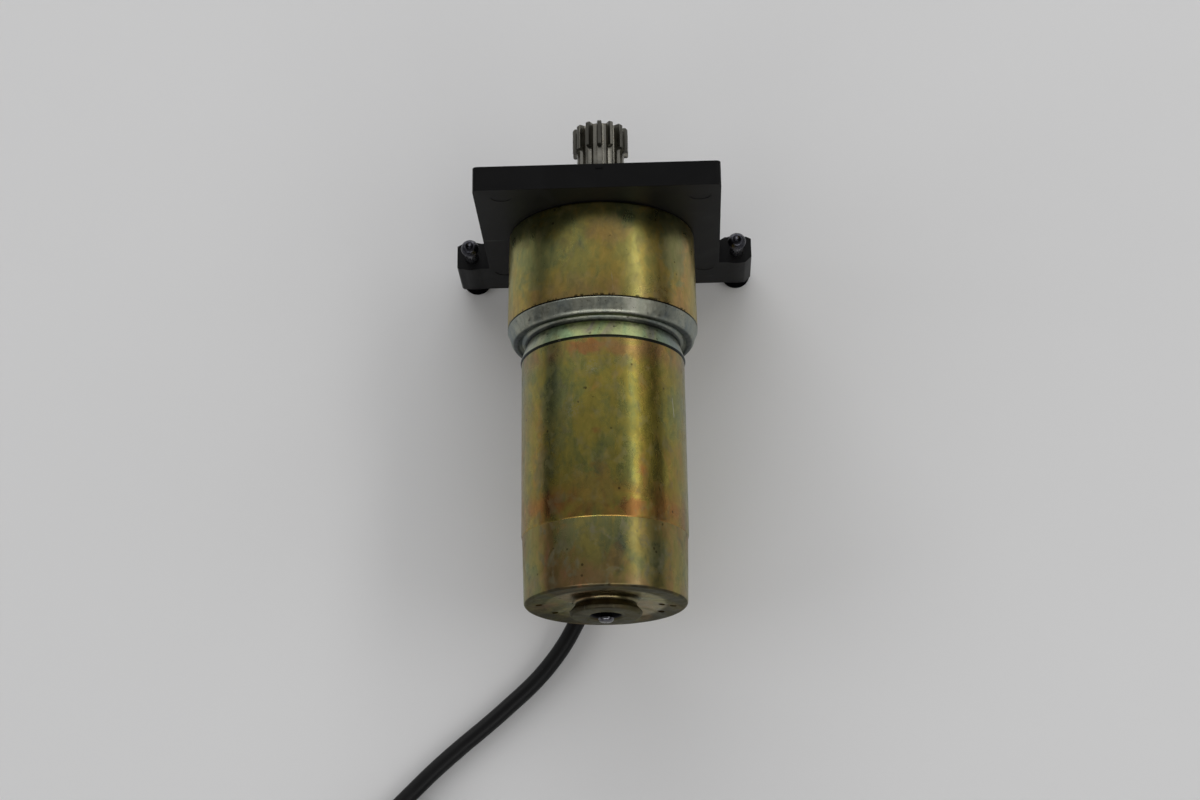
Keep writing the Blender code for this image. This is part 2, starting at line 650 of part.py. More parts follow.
def build_stator(m):
    for sx, name in ((-1, "magnet_left"), (1, "magnet_right")):
        loop = []
        steps = 14
        for k in range(steps + 1):
            a = math.radians(-68.0 + 136.0 * k / steps)
            loop.append((sx * 20.2 * math.cos(a), 20.2 * math.sin(a)))
        for k in range(steps, -1, -1):
            a = math.radians(-68.0 + 136.0 * k / steps)
            loop.append((sx * 16.3 * math.cos(a), 16.3 * math.sin(a)))
        place(name, prism([loop], -80.0, -46.0), m["magnet"])
    # brush card with two brass holders, carbon brushes and their springs
    card = prism([circle(17.0, 32), circle(8.2, 24)], -95.4, -93.8)
    place("brush_card", card, m["card"])
    for sx, side in ((-1, "left"), (1, "right")):
        def X(a, b):
            return (min(sx * a, sx * b), max(sx * a, sx * b))
        x0, x1 = X(8.6, 17.6)
        # folded channel: base and two walls with rounded bends
        y0, y1 = -93.5, -88.0
        w, t, b, c = 2.6, 0.6, 0.52, 0.31
        loop = [(-w + b, y0), (w - b, y0), (w, y0 + b), (w, y1), (w - t, y1),
                (w - t, y0 + t + c), (w - t - c, y0 + t), (-w + t + c, y0 + t),
                (-w + t, y0 + t + c), (-w + t, y1), (-w, y1), (-w, y0 + b)]
        bm = prism([loop], x0, x1)
        for v in bm.verts:
            v.co = (v.co.y, v.co.z, v.co.x)
        place("brush_holder_" + side, bm, m["brass"], smooth=False)
        b0, b1 = X(6.5, 12.8)
        place("brush_" + side, box(b0, b1, -92.6, -88.6, -1.7, 1.7), m["carbon"], smooth=False)
        # coil spring behind the brush
        pts = []
        turns, per = 3, 7
        for k in range(turns * per + 1):
            a = 2 * math.pi * k / per
            xx = sx * (13.5 + 3.6 * k / (turns * per))
            pts.append((xx, -90.6 + 1.2 * math.cos(a), 1.2 * math.sin(a)))
        place("brush_spring_" + side, sweep(pts, [0.22] * len(pts), 5), m["steel"])


BOOT_Y = -92.2
BOOT_TILT = 10.0       # the lead leaves a little left of the cap's lowest line


def build_lead(m):
    # moulded right-angle boot: stem through the cap wall, barrel on the surface
    c, s = math.cos(math.radians(BOOT_TILT)), math.sin(math.radians(BOOT_TILT))

    def radial(r):
        return Vector((-s * r, BOOT_Y, -c * r))

    floor = -AXIS_H
    p_end = Vector((-7.6, -98.9, floor + 4.0))
    pts, rad = [], []
    for r, rr in ((17.5, 4.9), (18.3, 4.9), (18.4, 4.1), (22.0, 4.1), (22.1, 5.6), (24.0, 5.6),
                  (25.6, 4.5)):
        pts.append(radial(r))
        rad.append(rr)
    d = Vector((-0.46, -0.888, 0.0)).normalized()
    a, b = radial(27.5), p_end - d * 3.5
    mid = Vector((a.x - 0.6, a.y - 0.8, b.z + 1.2))
    for t in (0.0, 0.35, 0.7, 1.0):
        q = a.lerp(mid, t).lerp(mid.lerp(b, t), t)
        pts.append(q)
        rad.append(4.2 - 0.2 * t)
    pts.append(p_end)
    rad.append(3.4)
    place("cable_boot", sweep(pts, rad, 14), m["cable"])

    # free lead from the boot to the coil
    start = p_end + d * 0.3
    route = [(start.x, start.y, 4.0), (-9.5, -102.5, 3.8), (-12.8, -108.3, 3.2),
             (-16.9, -113.9, 2.75), (-21.6, -119.2, 2.5), (-27.7, -124.8, 2.35),
             (-34.6, -130.8, 2.3), (-41.9, -136.8, 2.3), (-49.2, -143.2, 2.3),
             (-58.0, -151.8, 2.35), (-61.4, -155.2, 2.55)]
    tube_curve("lead_cable", smooth_path(route, 9.0), LEAD_R, m["cable"])

    # outer shape of the wound rest of the lead
    cx, cy = COIL_CENTRE
    low = COIL_LIFT
    shoulder, top = low + 3.6, low + 9.2
    prof = [(COIL_R_IN - LEAD_R, low + 1.2), (COIL_R_IN - 1.2, low), (COIL_R_OUT + 1.2, low),
            (COIL_R_OUT + LEAD_R, low + 1.2), (COIL_R_OUT + LEAD_R, shoulder),
            (COIL_R_TOP + LEAD_R, top), (COIL_R_TOP - LEAD_R, top),
            (COIL_R_IN - LEAD_R, shoulder)]
    ring = turn(lathe(prof, 32), 90.0, "X")
    place("lead_coil", shift(ring, cx, cy, floor), m["cable"])

    # the lead's end leaves the top of the coil and comes down to its connector
    def tail(run, z):
        return (cx + run, cy - COIL_R_TOP + TAIL_BEND * run * run, z)

    tail_route = [tail(20.4, 6.85), tail(23.0, 6.3), tail(28.0, 5.0), tail(33.0, 3.8),
                  tail(TAIL_RUN, 3.3)]
    tube_curve("lead_tail", smooth_path(tail_route, 4.5), LEAD_R, m["cable"])

    # tie round the coil's section
    gap, th, width = 0.3, 0.65, 3.0
    inner, outer = [], []
    for grow, loop in ((gap, inner), (gap + th, outer)):
        loop += [(COIL_R_IN - LEAD_R - grow, low - grow), (COIL_R_OUT + LEAD_R + grow, low - grow),
                 (COIL_R_OUT + LEAD_R + grow, shoulder + 0.3 * grow),
                 (COIL_R_TOP + LEAD_R + grow, top + grow),
                 (COIL_R_TOP - LEAD_R - grow, top + grow),
                 (COIL_R_IN - LEAD_R - grow, shoulder + 0.3 * grow)]
    tie = turn(prism([outer, inner], -width / 2, width / 2), TIE_DEG, "Z")
    place("cable_tie", shift(tie, cx, cy, floor), m["tie"])

    # two-pin connector lying beside the coil
    back = tail(TAIL_RUN, 0.0)
    head = math.atan(2.0 * TAIL_BEND * TAIL_RUN)
    deg = math.degrees(head)
    bx, by = back[0] + 7.3 * math.cos(head), back[1] + 7.3 * math.sin(head)
    body = box(-7.0, 7.0, -4.0, 4.0, 0.0, 6.6)
    ob = place("lead_connector", shift(turn(body, deg, "Z"), bx, by, floor),
               m["connector"], smooth=False)
    cuts, contacts = [], []
    for sy in (-1, 1):
        cav = box(1.0, 8.0, sy * 1.9 - 1.3, sy * 1.9 + 1.3, 1.6, 5.0)
        cuts.append(shift(turn(cav, deg, "Z"), bx, by, floor))
        pin = box(1.3, 6.4, sy * 1.9 - 0.9, sy * 1.9 + 0.9, 2.4, 4.2)
        contacts.append(shift(turn(pin, deg, "Z"), bx, by, floor))
    boolean(ob, cutter(place("connector_cavities", join(*cuts), None, smooth=False)))
    for k, pin in enumerate(contacts):
        place("connector_contact_%d" % (k + 1), pin, m["brass"], smooth=False)

    # two conductors inside the cap, from the boot to the brush holders
    for sx, name, mat in ((-1, "inner_lead_negative", m["cable"]),
                          (1, "inner_lead_positive", m["red"])):
        base = radial(17.1)
        pts = [(base.x + sx * 1.6, base.y, base.z + 0.4 + AXIS_H),
               (base.x + sx * 3.2, -92.2, -15.0 + AXIS_H),
               (sx * 8.5, -91.8, -11.5 + AXIS_H),
               (sx * 13.0, -91.0, -7.2 + AXIS_H),
               (sx * 15.2, -90.6, -3.6 + AXIS_H)]
        tube_curve(name, smooth_path(pts, 3.0), 0.65, mat)


def main():
    clear_scene()
    m = build_materials()
    build_plate(m)
    build_screws(m)
    build_housing(m)
    build_output(m)
    build_gears(m)
    build_flange(m)
    build_can(m)
    build_rotor(m)
    build_stator(m)
    build_lead(m)


main()
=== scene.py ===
import math
import random

import bpy
import bmesh
import numpy as np
from mathutils import Matrix, Vector


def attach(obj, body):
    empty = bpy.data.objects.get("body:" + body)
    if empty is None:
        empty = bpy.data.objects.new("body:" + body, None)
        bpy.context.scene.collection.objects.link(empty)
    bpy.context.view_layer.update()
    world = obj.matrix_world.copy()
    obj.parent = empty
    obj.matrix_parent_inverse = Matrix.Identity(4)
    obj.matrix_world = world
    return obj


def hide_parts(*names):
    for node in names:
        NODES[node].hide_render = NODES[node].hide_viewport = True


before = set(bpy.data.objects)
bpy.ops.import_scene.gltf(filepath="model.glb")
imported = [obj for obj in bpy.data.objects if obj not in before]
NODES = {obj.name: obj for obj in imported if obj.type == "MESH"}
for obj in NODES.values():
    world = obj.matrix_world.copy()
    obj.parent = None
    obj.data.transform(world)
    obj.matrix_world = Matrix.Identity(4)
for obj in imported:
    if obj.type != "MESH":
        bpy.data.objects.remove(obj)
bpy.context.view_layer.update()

rnd = random.Random(7)

MM = 0.001
AXIS_H = 37.0        # motor axis above the table, mm
Y_PLATE = 38.1       # row Y of the mounting plate's back face, mm

scene = bpy.context.scene
scene.view_settings.view_transform = "Standard"
scene.view_settings.look = "None"
scene.view_settings.exposure = 0.0
scene.view_settings.gamma = 1.0


def W(x, y, z):
    """Row-frame point in metres from mm on the motor axis, y from the plate's back."""
    return Vector((x * MM, (Y_PLATE + y) * MM, (AXIS_H + z) * MM))


def T(x, y, z):
    """Row-frame point in metres from mm, y from the plate's back, z above the table."""
    return Vector((x * MM, (Y_PLATE + y) * MM, z * MM))


# =============================================================== camera
cam_data = bpy.data.cameras.new("camera")
cam_data.sensor_fit = "HORIZONTAL"
cam_data.sensor_width = 36.0
cam_data.lens = 64.2
cam_data.clip_start = 0.02
cam_data.clip_end = 20.0
cam = bpy.data.objects.new("camera", cam_data)
scene.collection.objects.link(cam)
cam.matrix_world = (Matrix.Translation((0.0197013, -0.2068658, 0.5908357))
                    @ (Matrix.Rotation(-0.0256, 3, "Z") @ Matrix.Rotation(0.3406, 3, "X")
                       @ Matrix.Rotation(0.0437, 3, "Y")).to_4x4())
scene.camera = cam


# =============================================================== mesh helpers
def finish_mesh(ob, sharp=38.0):
    me = ob.data
    me.shade_smooth()
    me.set_sharp_from_angle(angle=math.radians(sharp))
    return ob


def new_object(name, bm, mat=None, sharp=38.0, clean=True):
    """bm is in metres in the row frame."""
    if clean:
        bmesh.ops.recalc_face_normals(bm, faces=bm.faces)
    me = bpy.data.meshes.new(name)
    bm.to_mesh(me)
    bm.free()
    ob = bpy.data.objects.new(name, me)
    scene.collection.objects.link(ob)
    if mat is not None:
        me.materials.append(mat)
    return finish_mesh(ob, sharp)


def piece(ob, body, nodes):
    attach(ob, body)
    if nodes:
        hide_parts(*nodes)
    return ob


def bake_modifiers(ob, sharp=38.0):
    dg = bpy.context.evaluated_depsgraph_get()
    me = bpy.data.meshes.new_from_object(ob.evaluated_get(dg))
    old = ob.data
    ob.modifiers.clear()
    ob.data = me
    if old.users == 0:
        bpy.data.meshes.remove(old)
    return finish_mesh(ob, sharp)


def boolean(ob, bms, op="DIFFERENCE", sharp=38.0):
    """Cut or join closed bmeshes (row frame, metres) with the object, then apply."""
    tools = []
    for i, bm in enumerate(bms):
        t = new_object(ob.name + "_tool%d" % i, bm)
        t.hide_render = True
        tools.append(t)
        m = ob.modifiers.new("b%d" % i, "BOOLEAN")
        m.operation, m.object, m.solver = op, t, "EXACT"
    bpy.context.view_layer.update()
    bake_modifiers(ob, sharp)
    # the tools bring empty material slots: keep only the piece's own
    for f in ob.data.polygons:
        f.material_index = 0
    while len(ob.data.materials) > 1:
        ob.data.materials.pop()
    for t in tools:
        me = t.data
        bpy.data.objects.remove(t, do_unlink=True)
        bpy.data.meshes.remove(me)
    return ob


def soften(ob, width, segments=3, angle=35.0, weighted=True):
    """Round the edges and even out the shading."""
    bm = bmesh.new()
    bm.from_mesh(ob.data)
    bmesh.ops.remove_doubles(bm, verts=bm.verts, dist=2e-6)
    bmesh.ops.dissolve_limit(bm, angle_limit=math.radians(1.0), verts=bm.verts,
                             edges=bm.edges, delimit={"NORMAL"})
    bm.to_mesh(ob.data)
    bm.free()
    m = ob.modifiers.new("round", "BEVEL")
    m.width, m.segments = width * MM, segments
    m.limit_method, m.angle_limit = "ANGLE", math.radians(angle)
    m.use_clamp_overlap = True
    m.harden_normals = False
    bake_modifiers(ob, 60.0)
    if weighted:
        w = ob.modifiers.new("normals", "WEIGHTED_NORMAL")
        w.keep_sharp = True
        w.weight = 80
    return ob


def rounded(points, radius=0.25, steps=4, closed=False):
    """Profile points (r, y[, corner radius]) with each corner turned into an arc."""
    out = []
    n = len(points)
    for i, p in enumerate(points):
        rad = p[2] if len(p) > 2 else radius
        if rad <= 0 or (not closed and i in (0, n - 1)):
            out.append((p[0], p[1]))
            continue
        P = Vector(p[:2])
        a = Vector(points[i - 1][:2]) - P
        b = Vector(points[(i + 1) % n][:2]) - P
        la, lb = a.length, b.length
        if la < 1e-6 or lb < 1e-6:
            out.append((p[0], p[1]))
            continue
        a, b = a / la, b / lb
        ang = a.angle(b)
        if ang > math.radians(176):
            out.append((p[0], p[1]))
            continue
        t = min(rad / math.tan(ang / 2), 0.46 * la, 0.46 * lb)
        r = t * math.tan(ang / 2)
        c = P + (a + b).normalized() * (r / math.sin(ang / 2))
        s, e = P + a * t - c, P + b * t - c
        for k in range(steps + 1):
            q = c + s.slerp(e, k / steps) if s.length > 1e-9 else c
            out.append((q.x, q.y))
    return out


def lathe(profile, n=160, closed=True, cx=0.0, cz=0.0, radial=None):
    """Turned body round the Y axis through (cx, cz).  Profile is (r, y) in mm; closed rings, or
    a solid whose first and last points have radius 0.  radial(a, r, y) may change r."""
    bm = bmesh.new()
    rings = []
    for r, y in profile:
        if r < 1e-6:
            rings.append([bm.verts.new(W(cx, y, cz))])
            continue
        ring = []
        for k in range(n):
            a = 2.0 * math.pi * k / n
            rr = radial(a, r, y) if radial else r
            ring.append(bm.verts.new(W(cx + rr * math.cos(a), y, cz + rr * math.sin(a))))
        rings.append(ring)
    pairs = list(zip(rings, rings[1:]))
    if closed and len(rings[0]) > 1 and len(rings[-1]) > 1:
        pairs.append((rings[-1], rings[0]))
    for a, b in pairs:
        if len(a) == 1 and len(b) == 1:
            continue
        for k in range(n):
            k2 = (k + 1) % n
            if len(a) == 1:
                bm.faces.new((a[0], b[k], b[k2]))
            elif len(b) == 1:
                bm.faces.new((a[k2], a[k], b[0]))
            else:
                bm.faces.new((a[k], a[k2], b[k2], b[k]))
    return bm


def prism(loops, y0, y1):
    """Extrude flat loops of (x, z) mm from y0 to y1 (first is the outline, others holes)."""
    bm = bmesh.new()
    edges = []
    for loop in loops:
        vs = [bm.verts.new(W(x, y0, z)) for x, z in loop]
        edges += [bm.edges.new((vs[i], vs[(i + 1) % len(vs)])) for i in range(len(vs))]
    res = bmesh.ops.triangle_fill(bm, use_beauty=True, edges=edges)
    faces = [g for g in res["geom"] if isinstance(g, bmesh.types.BMFace)]
    ext = bmesh.ops.extrude_face_region(bm, geom=faces)
    moved = [g for g in ext["geom"] if isinstance(g, bmesh.types.BMVert)]
    bmesh.ops.translate(bm, vec=(0.0, (y1 - y0) * MM, 0.0), verts=moved)
    bmesh.ops.recalc_face_normals(bm, faces=bm.faces)
    return bm


def plan_prism(loop, z0, z1):
    """Extrude one flat loop of (x, y) mm from z0 to z1 (z from the motor axis)."""
    bm = bmesh.new()
    low = [bm.verts.new(W(x, y, z0)) for x, y in loop]
    top = [bm.verts.new(W(x, y, z1)) for x, y in loop]
    n = len(loop)
    for k in range(n):
        bm.faces.new((low[k], low[(k + 1) % n], top[(k + 1) % n], top[k]))
    bm.faces.new(low[::-1])
    bm.faces.new(top)
    bmesh.ops.recalc_face_normals(bm, faces=bm.faces)
    return bm


def box(x0, x1, y0, y1, z0, z1):
    """Box between row-relative mm limits (z from the motor axis)."""
    return plan_prism([(x0, y0), (x1, y0), (x1, y1), (x0, y1)], z0, z1)


def circle(r, n, cx=0.0, cz=0.0, phase=0.0):
    return [(cx + r * math.cos(phase + 2.0 * math.pi * i / n),
             cz + r * math.sin(phase + 2.0 * math.pi * i / n)) for i in range(n)]


def polar(r, deg):
    return r * math.cos(math.radians(deg)), r * math.sin(math.radians(deg))


def transform(bm, matrix):
    bmesh.ops.transform(bm, matrix=matrix, verts=bm.verts)
    return bm


def frames_along(points):
    """Unit tangents and a side vector that doesn't twist, for points on a path."""
    n = len(points)
    tan = []
    for i in range(n):
        d = points[min(i + 1, n - 1)] - points[max(i - 1, 0)]
        tan.append(d.normalized())
    side = Vector((0, 0, 1)).cross(tan[0])
    if side.length < 1e-4:
        side = Vector((1, 0, 0))
    side.normalize()
    sides = []
    for t in tan:
        side = (side - t * side.dot(t)).normalized()
        sides.append(side.copy())
    return tan, sides


def sweep(points, radii, n=32, dome=0.0):
    """Closed tube through points (metres) with a radius (metres) at each."""
    bm = bmesh.new()
    tan, sides = frames_along(points)
    rings = []
    for p, t, s, r in zip(points, tan, sides, radii):
        up = t.cross(s)
        rings.append([bm.verts.new(p + (s * math.cos(2 * math.pi * k / n)
                                        + up * math.sin(2 * math.pi * k / n)) * r)
                      for k in range(n)])
    for a, b in zip(rings, rings[1:]):
        for k in range(n):
            bm.faces.new((a[k], a[(k + 1) % n], b[(k + 1) % n], b[k]))
    for ring, p, t, sign in ((rings[0], points[0], tan[0], -1.0), (rings[-1], points[-1], tan[-1], 1.0)):
        c = bm.verts.new(p + t * sign * dome)
        for k in range(n):
            bm.faces.new((ring[k], ring[(k + 1) % n], c))
    bmesh.ops.recalc_face_normals(bm, faces=bm.faces)
    return bm


def catmull(points, step):
    """Evenly spaced points about one step apart on a Catmull-Rom curve."""
    pts = [Vector(p) for p in points]
    ext = [pts[0] * 2 - pts[1]] + pts + [pts[-1] * 2 - pts[-2]]
    fine = []
    for i in range(1, len(ext) - 2):
        p0, p1, p2, p3 = ext[i - 1:i + 3]
        for k in range(24):
            t = k / 24.0
            fine.append(0.5 * ((2 * p1) + (p2 - p0) * t
                               + (2 * p0 - 5 * p1 + 4 * p2 - p3) * t * t
                               + (3 * p1 - p0 - 3 * p2 + p3) * t * t * t))
    fine.append(pts[-1])
    dist = [0.0]
    for a, b in zip(fine, fine[1:]):
        dist.append(dist[-1] + (b - a).length)
    n = max(2, int(round(dist[-1] / step)))
    out, j = [], 0
    for k in range(n + 1):
        want = dist[-1] * k / n
        while j < len(dist) - 2 and dist[j + 1] < want:
            j += 1
        t = (want - dist[j]) / max(1e-9, dist[j + 1] - dist[j])
        out.append(fine[j].lerp(fine[j + 1], min(1.0, max(0.0, t))))
    return out


# =============================================================== materials
class Mat:
    """Small builder for a procedural Principled material."""

    def __init__(self, name, rough=0.4, metal=0.0, **sockets):
        self.m = bpy.data.materials.new(name)
        self.m.use_nodes = True
        self.nt = self.m.node_tree
        self.nt.nodes.clear()
        self.out = self.nt.nodes.new("ShaderNodeOutputMaterial")
        self.b = self.nt.nodes.new("ShaderNodeBsdfPrincipled")
        self.nt.links.new(self.b.outputs[0], self.out.inputs["Surface"])
        self.b.inputs["Roughness"].default_value = rough
        self.b.inputs["Metallic"].default_value = metal
        for k, v in sockets.items():
            self.b.inputs[k.replace("_", " ")].default_value = v
        self.tc = self.nt.nodes.new("ShaderNodeTexCoord")
        self.co = self.tc.outputs["Object"]

    def set(self, socket, value):
        self.plug(value, self.b.inputs[socket])
        return self

    def plug(self, value, socket):
        if isinstance(value, bpy.types.NodeSocket):
            self.nt.links.new(value, socket)
        else:
            socket.default_value = value

    def map(self, scale=(1, 1, 1), loc=(0, 0, 0), rot=(0, 0, 0), vec=None):
        n = self.nt.nodes.new("ShaderNodeMapping")
        self.plug(vec if vec is not None else self.co, n.inputs["Vector"])
        n.inputs["Scale"].default_value = scale
        n.inputs["Location"].default_value = loc
        n.inputs["Rotation"].default_value = rot
        return n.outputs[0]

    def noise(self, vec, scale=1.0, detail=4.0, rough=0.55, distortion=0.0):
        n = self.nt.nodes.new("ShaderNodeTexNoise")
        self.plug(vec, n.inputs["Vector"])
        n.inputs["Scale"].default_value = scale
        n.inputs["Detail"].default_value = detail
        n.inputs["Roughness"].default_value = rough
        n.inputs["Distortion"].default_value = distortion
        return n.outputs["Fac"]

    def voronoi(self, vec, scale=1.0, feature="F1", out="Distance"):
        n = self.nt.nodes.new("ShaderNodeTexVoronoi")
        n.feature = feature
        self.plug(vec, n.inputs["Vector"])
        n.inputs["Scale"].default_value = scale
        return n.outputs[out]

    def ramp(self, fac, stops, mode="LINEAR"):
        n = self.nt.nodes.new("ShaderNodeValToRGB")
        n.color_ramp.interpolation = mode
        el = n.color_ramp.elements
        while len(el) > 1:
            el.remove(el[-1])
        for i, (p, c) in enumerate(stops):
            e = el[0] if i == 0 else el.new(p)
            e.position = p
            c = (c, c, c) if isinstance(c, (int, float)) else c
            e.color = (c[0], c[1], c[2], 1.0)
        self.plug(fac, n.inputs[0])
        return n.outputs["Color"]

    def range(self, fac, a, b, c=0.0, d=1.0, smooth=False):
        n = self.nt.nodes.new("ShaderNodeMapRange")
        n.interpolation_type = "SMOOTHSTEP" if smooth else "LINEAR"
        self.plug(fac, n.inputs["Value"])
        for k, v in zip(("From Min", "From Max", "To Min", "To Max"), (a, b, c, d)):
            n.inputs[k].default_value = v
        return n.outputs["Result"]

    def mix(self, fac, a, b, blend="MIX"):
        n = self.nt.nodes.new("ShaderNodeMix")
        n.data_type = "RGBA"
        n.blend_type = blend
        self.plug(fac, n.inputs[0])
        for v, s in ((a, n.inputs[6]), (b, n.inputs[7])):
            if isinstance(v, (tuple, list)) and len(v) == 3:
                v = (v[0], v[1], v[2], 1.0)
            self.plug(v, s)
        return n.outputs[2]

    def math(self, op, a, b=0.0, clamp=False):
        n = self.nt.nodes.new("ShaderNodeMath")
        n.operation = op
        n.use_clamp = clamp
        self.plug(a, n.inputs[0])
        self.plug(b, n.inputs[1])
        return n.outputs[0]

    def xyz(self, vec=None):
        n = self.nt.nodes.new("ShaderNodeSeparateXYZ")
        self.plug(vec if vec is not None else self.co, n.inputs[0])
        return n.outputs

    def near(self, centre, radius, stretch=1.0):
        """Distance from a row point given in mm on the motor axis, over the radius (mm)."""
        c = W(*centre)
        k = 1.0 / (radius * MM)
        n = self.nt.nodes.new("ShaderNodeVectorMath")
        n.operation = "LENGTH"
        self.plug(self.map((k, k / stretch, k), (-c.x * k, -c.y * k / stretch, -c.z * k)), n.inputs[0])
        return n.outputs["Value"]

    def bump(self, height, strength=0.3, distance=0.0001, normal=None):
        n = self.nt.nodes.new("ShaderNodeBump")
        n.inputs["Strength"].default_value = strength
        n.inputs["Distance"].default_value = distance
        self.plug(height, n.inputs["Height"])
        if normal is not None:
            self.nt.links.new(normal, n.inputs["Normal"])
        return n.outputs[0]


def y_row(mm):
    """Row Y in metres of a station given in mm from the plate's back."""
    return (Y_PLATE + mm) * MM


def chromate(name, seed, tones, rough=(0.24, 0.36), cloud=0.5, ends=(), scuffs=0.5, turned=0.35,
             spread=(0.34, 0.64), blots=(), dirt=None, tint=(0.90, 0.95, 0.88), marks=(), rear=None):
    """Iridescent yellow zinc passivation on turned steel.  tones is a list of linear
    colours the film drifts through; ends is a list of (y0, y1, colour, amount); blots is a
    list of (x, y, z, radius, stretch along y, colour, amount); dirt is a (y0, y1) band."""
    m = Mat(name, metal=1.0, Specular_Tint=(tint[0], tint[1], tint[2], 1.0))
    o = (seed * 3.17, seed * 1.31, seed * 5.9)
    big = m.noise(m.map((34, 20, 34), o), 1.0, 3.0, 0.55, 0.6)
    mid = m.noise(m.map((150, 80, 150), o), 1.0, 4.0, 0.6, 0.9)
    streak = m.noise(m.map((230, 12, 230), o), 1.0, 3.0, 0.6, 0.2)
    tiny = m.noise(m.map((520, 330, 520), o), 1.0, 4.0, 0.6, 0.5)
    drift = m.math("ADD", m.math("ADD", m.math("MULTIPLY", big, 0.48), m.math("MULTIPLY", tiny, 0.12)),
                   m.math("ADD", m.math("MULTIPLY", mid, 0.24), m.math("MULTIPLY", streak, 0.16)))
    n = len(tones)
    col = m.ramp(m.range(drift, *spread), [(i / (n - 1), c) for i, c in enumerate(tones)],
                 "EASE")
    y = m.xyz()[1]
    edge = m.math("MULTIPLY", m.math("SUBTRACT", m.noise(m.map((240, 240, 240), (o[1], o[2], 3.0)),
                                                         1.0, 4.0, 0.65, 0.8), 0.5), 2.6)
    for bx, by, bz, rad, long, colour, amount in blots:
        f = m.math("ADD", m.near((bx, by, bz), rad, long), edge)
        col = m.mix(m.range(f, 0.55, 1.25, amount, 0.0, True), col, colour)
    for y0, y1, colour, amount in ends:
        blot = m.noise(m.map((85, 60, 85), (o[1], o[2], o[0])), 1.0, 3.0, 0.6, 1.0)
        near = m.range(y, y_row(y0), y_row(y1), 0.0, 1.0, True)
        f = m.math("MULTIPLY", m.math("MULTIPLY", near, m.range(blot, 0.38, 0.62, 0.1, 1.0, True)),
                   amount)
        col = m.mix(f, col, colour)
    # cloudy, dulled patches where the film is thicker or stained
    cl = m.noise(m.map((260, 200, 260), (o[2], o[0], o[1])), 1.0, 5.0, 0.65, 0.4)
    cloudy = m.range(cl, 0.50, 0.68, 0.0, cloud, True)
    col = m.mix(cloudy, col, tuple(0.5 * (c + 0.16) for c in tones[len(tones) // 2]))
    shade = m.ramp(m.range(tiny, 0.34, 0.66), [(0.0, 0.86), (0.5, 0.99), (1.0, 1.12)], "EASE")
    col = m.mix(1.0, col, shade, "MULTIPLY")
    # short thin scuffs through the film, showing zinc
    sc1 = m.noise(m.map((900, 70, 70), (o[0] + 3, o[1] + 5, o[2]), (0.0, 0.0, 0.45)), 1.0, 2.0, 0.5, 0.5)
    gate = m.range(m.noise(m.map((90, 90, 90), (o[1] + 11, o[0], o[2])), 1.0, 2.0), 0.56, 0.64,
                   0.0, 1.0, True)
    scuff = m.math("MULTIPLY", m.range(sc1, 0.71, 0.76, 0.0, 1.0, True),
                   m.math("MULTIPLY", gate, scuffs))
    col = m.mix(scuff, col, (0.50, 0.49, 0.42))
    # pin-prick stains
    for bx, by, bz, rad, long, colour, amount in marks:
        line = m.noise(m.map((620, 380, 620), (o[0], 4.0, o[2]), (0.2, 0.1, 0.7)), 1.0, 3.0, 0.6, 2.2)
        thin = m.math("ABSOLUTE", m.math("SUBTRACT", line, 0.5))
        f = m.math("MULTIPLY", m.range(m.near((bx, by, bz), rad, long), 0.4, 1.0, amount, 0.0, True),
                   m.range(thin, 0.004, 0.030, 1.0, 0.0, True))
        col = m.mix(f, col, colour)
    spots = m.voronoi(m.map((420, 420, 420), (o[2] + 1, o[1], o[0])), 1.0)
    pick = m.noise(m.map((140, 140, 140), (o[2], o[1] + 5, o[0])), 1.0, 1.0)
    spot = m.math("MULTIPLY", m.range(spots, 0.10, 0.20, 1.0, 0.0, True),
                  m.range(pick, 0.62, 0.66, 0.0, 0.75, True))
    col = m.mix(spot, col, (0.05, 0.035, 0.015))
    if dirt:
        band = m.math("MULTIPLY", m.range(y, y_row(dirt[0]), y_row(dirt[0] - 0.5), 0.0, 1.0, True),
                      m.range(y, y_row(dirt[1]), y_row(dirt[1] - 0.1), 1.0, 0.0, True))
        crumbs = m.range(m.noise(m.map((900, 500, 900), (o[1], 2.0, o[0])), 1.0, 3.0, 0.6), 0.50, 0.60,
                         0.0, 0.85, True)
        col = m.mix(m.math("MULTIPLY", band, crumbs), col, (0.030, 0.026, 0.014))
        col = m.mix(m.range(y, y_row(dirt[1] + 0.14), y_row(dirt[1] + 0.06), 0.0, 0.97, True), col,
                    (0.012, 0.011, 0.008))
    dull = None
    if rear:
        # darker and rougher on the rear end face than on the turned side
        dull = m.range(y, y_row(rear + 0.15), y_row(rear), 0.0, 1.0, True)
        col = m.mix(m.math("MULTIPLY", dull, 1.0), col, m.ramp(tiny, [(0.0, 0.36), (1.0, 0.58)]), "MULTIPLY")
    m.set("Base Color", col)
    r = m.math("ADD", m.range(mid, 0.35, 0.65, rough[0], rough[1]),
               m.math("MULTIPLY", cloudy, 0.22))
    if dull is not None:
        r = m.math("ADD", r, m.math("MULTIPLY", dull, 0.22))
    m.set("Roughness", m.math("ADD", r, m.math("MULTIPLY", scuff, 0.10)))
    rings = m.noise(m.map((60, 5200, 60), o), 1.0, 3.0, 0.6)
    grain = m.noise(m.map((2600, 2600, 2600), o), 1.0, 3.0, 0.6)
    h = m.math("ADD", m.math("MULTIPLY", rings, turned), m.math("MULTIPLY", grain, 0.55))
    h = m.math("SUBTRACT", h, m.math("MULTIPLY", scuff, 0.8))
    nrm = m.bump(h, 0.22, 0.00003)
    soft = m.bump(m.noise(m.map((55, 40, 55), o), 1.0, 2.0), 0.35, 0.0002, nrm)
    m.set("Normal", soft)
    return m.m


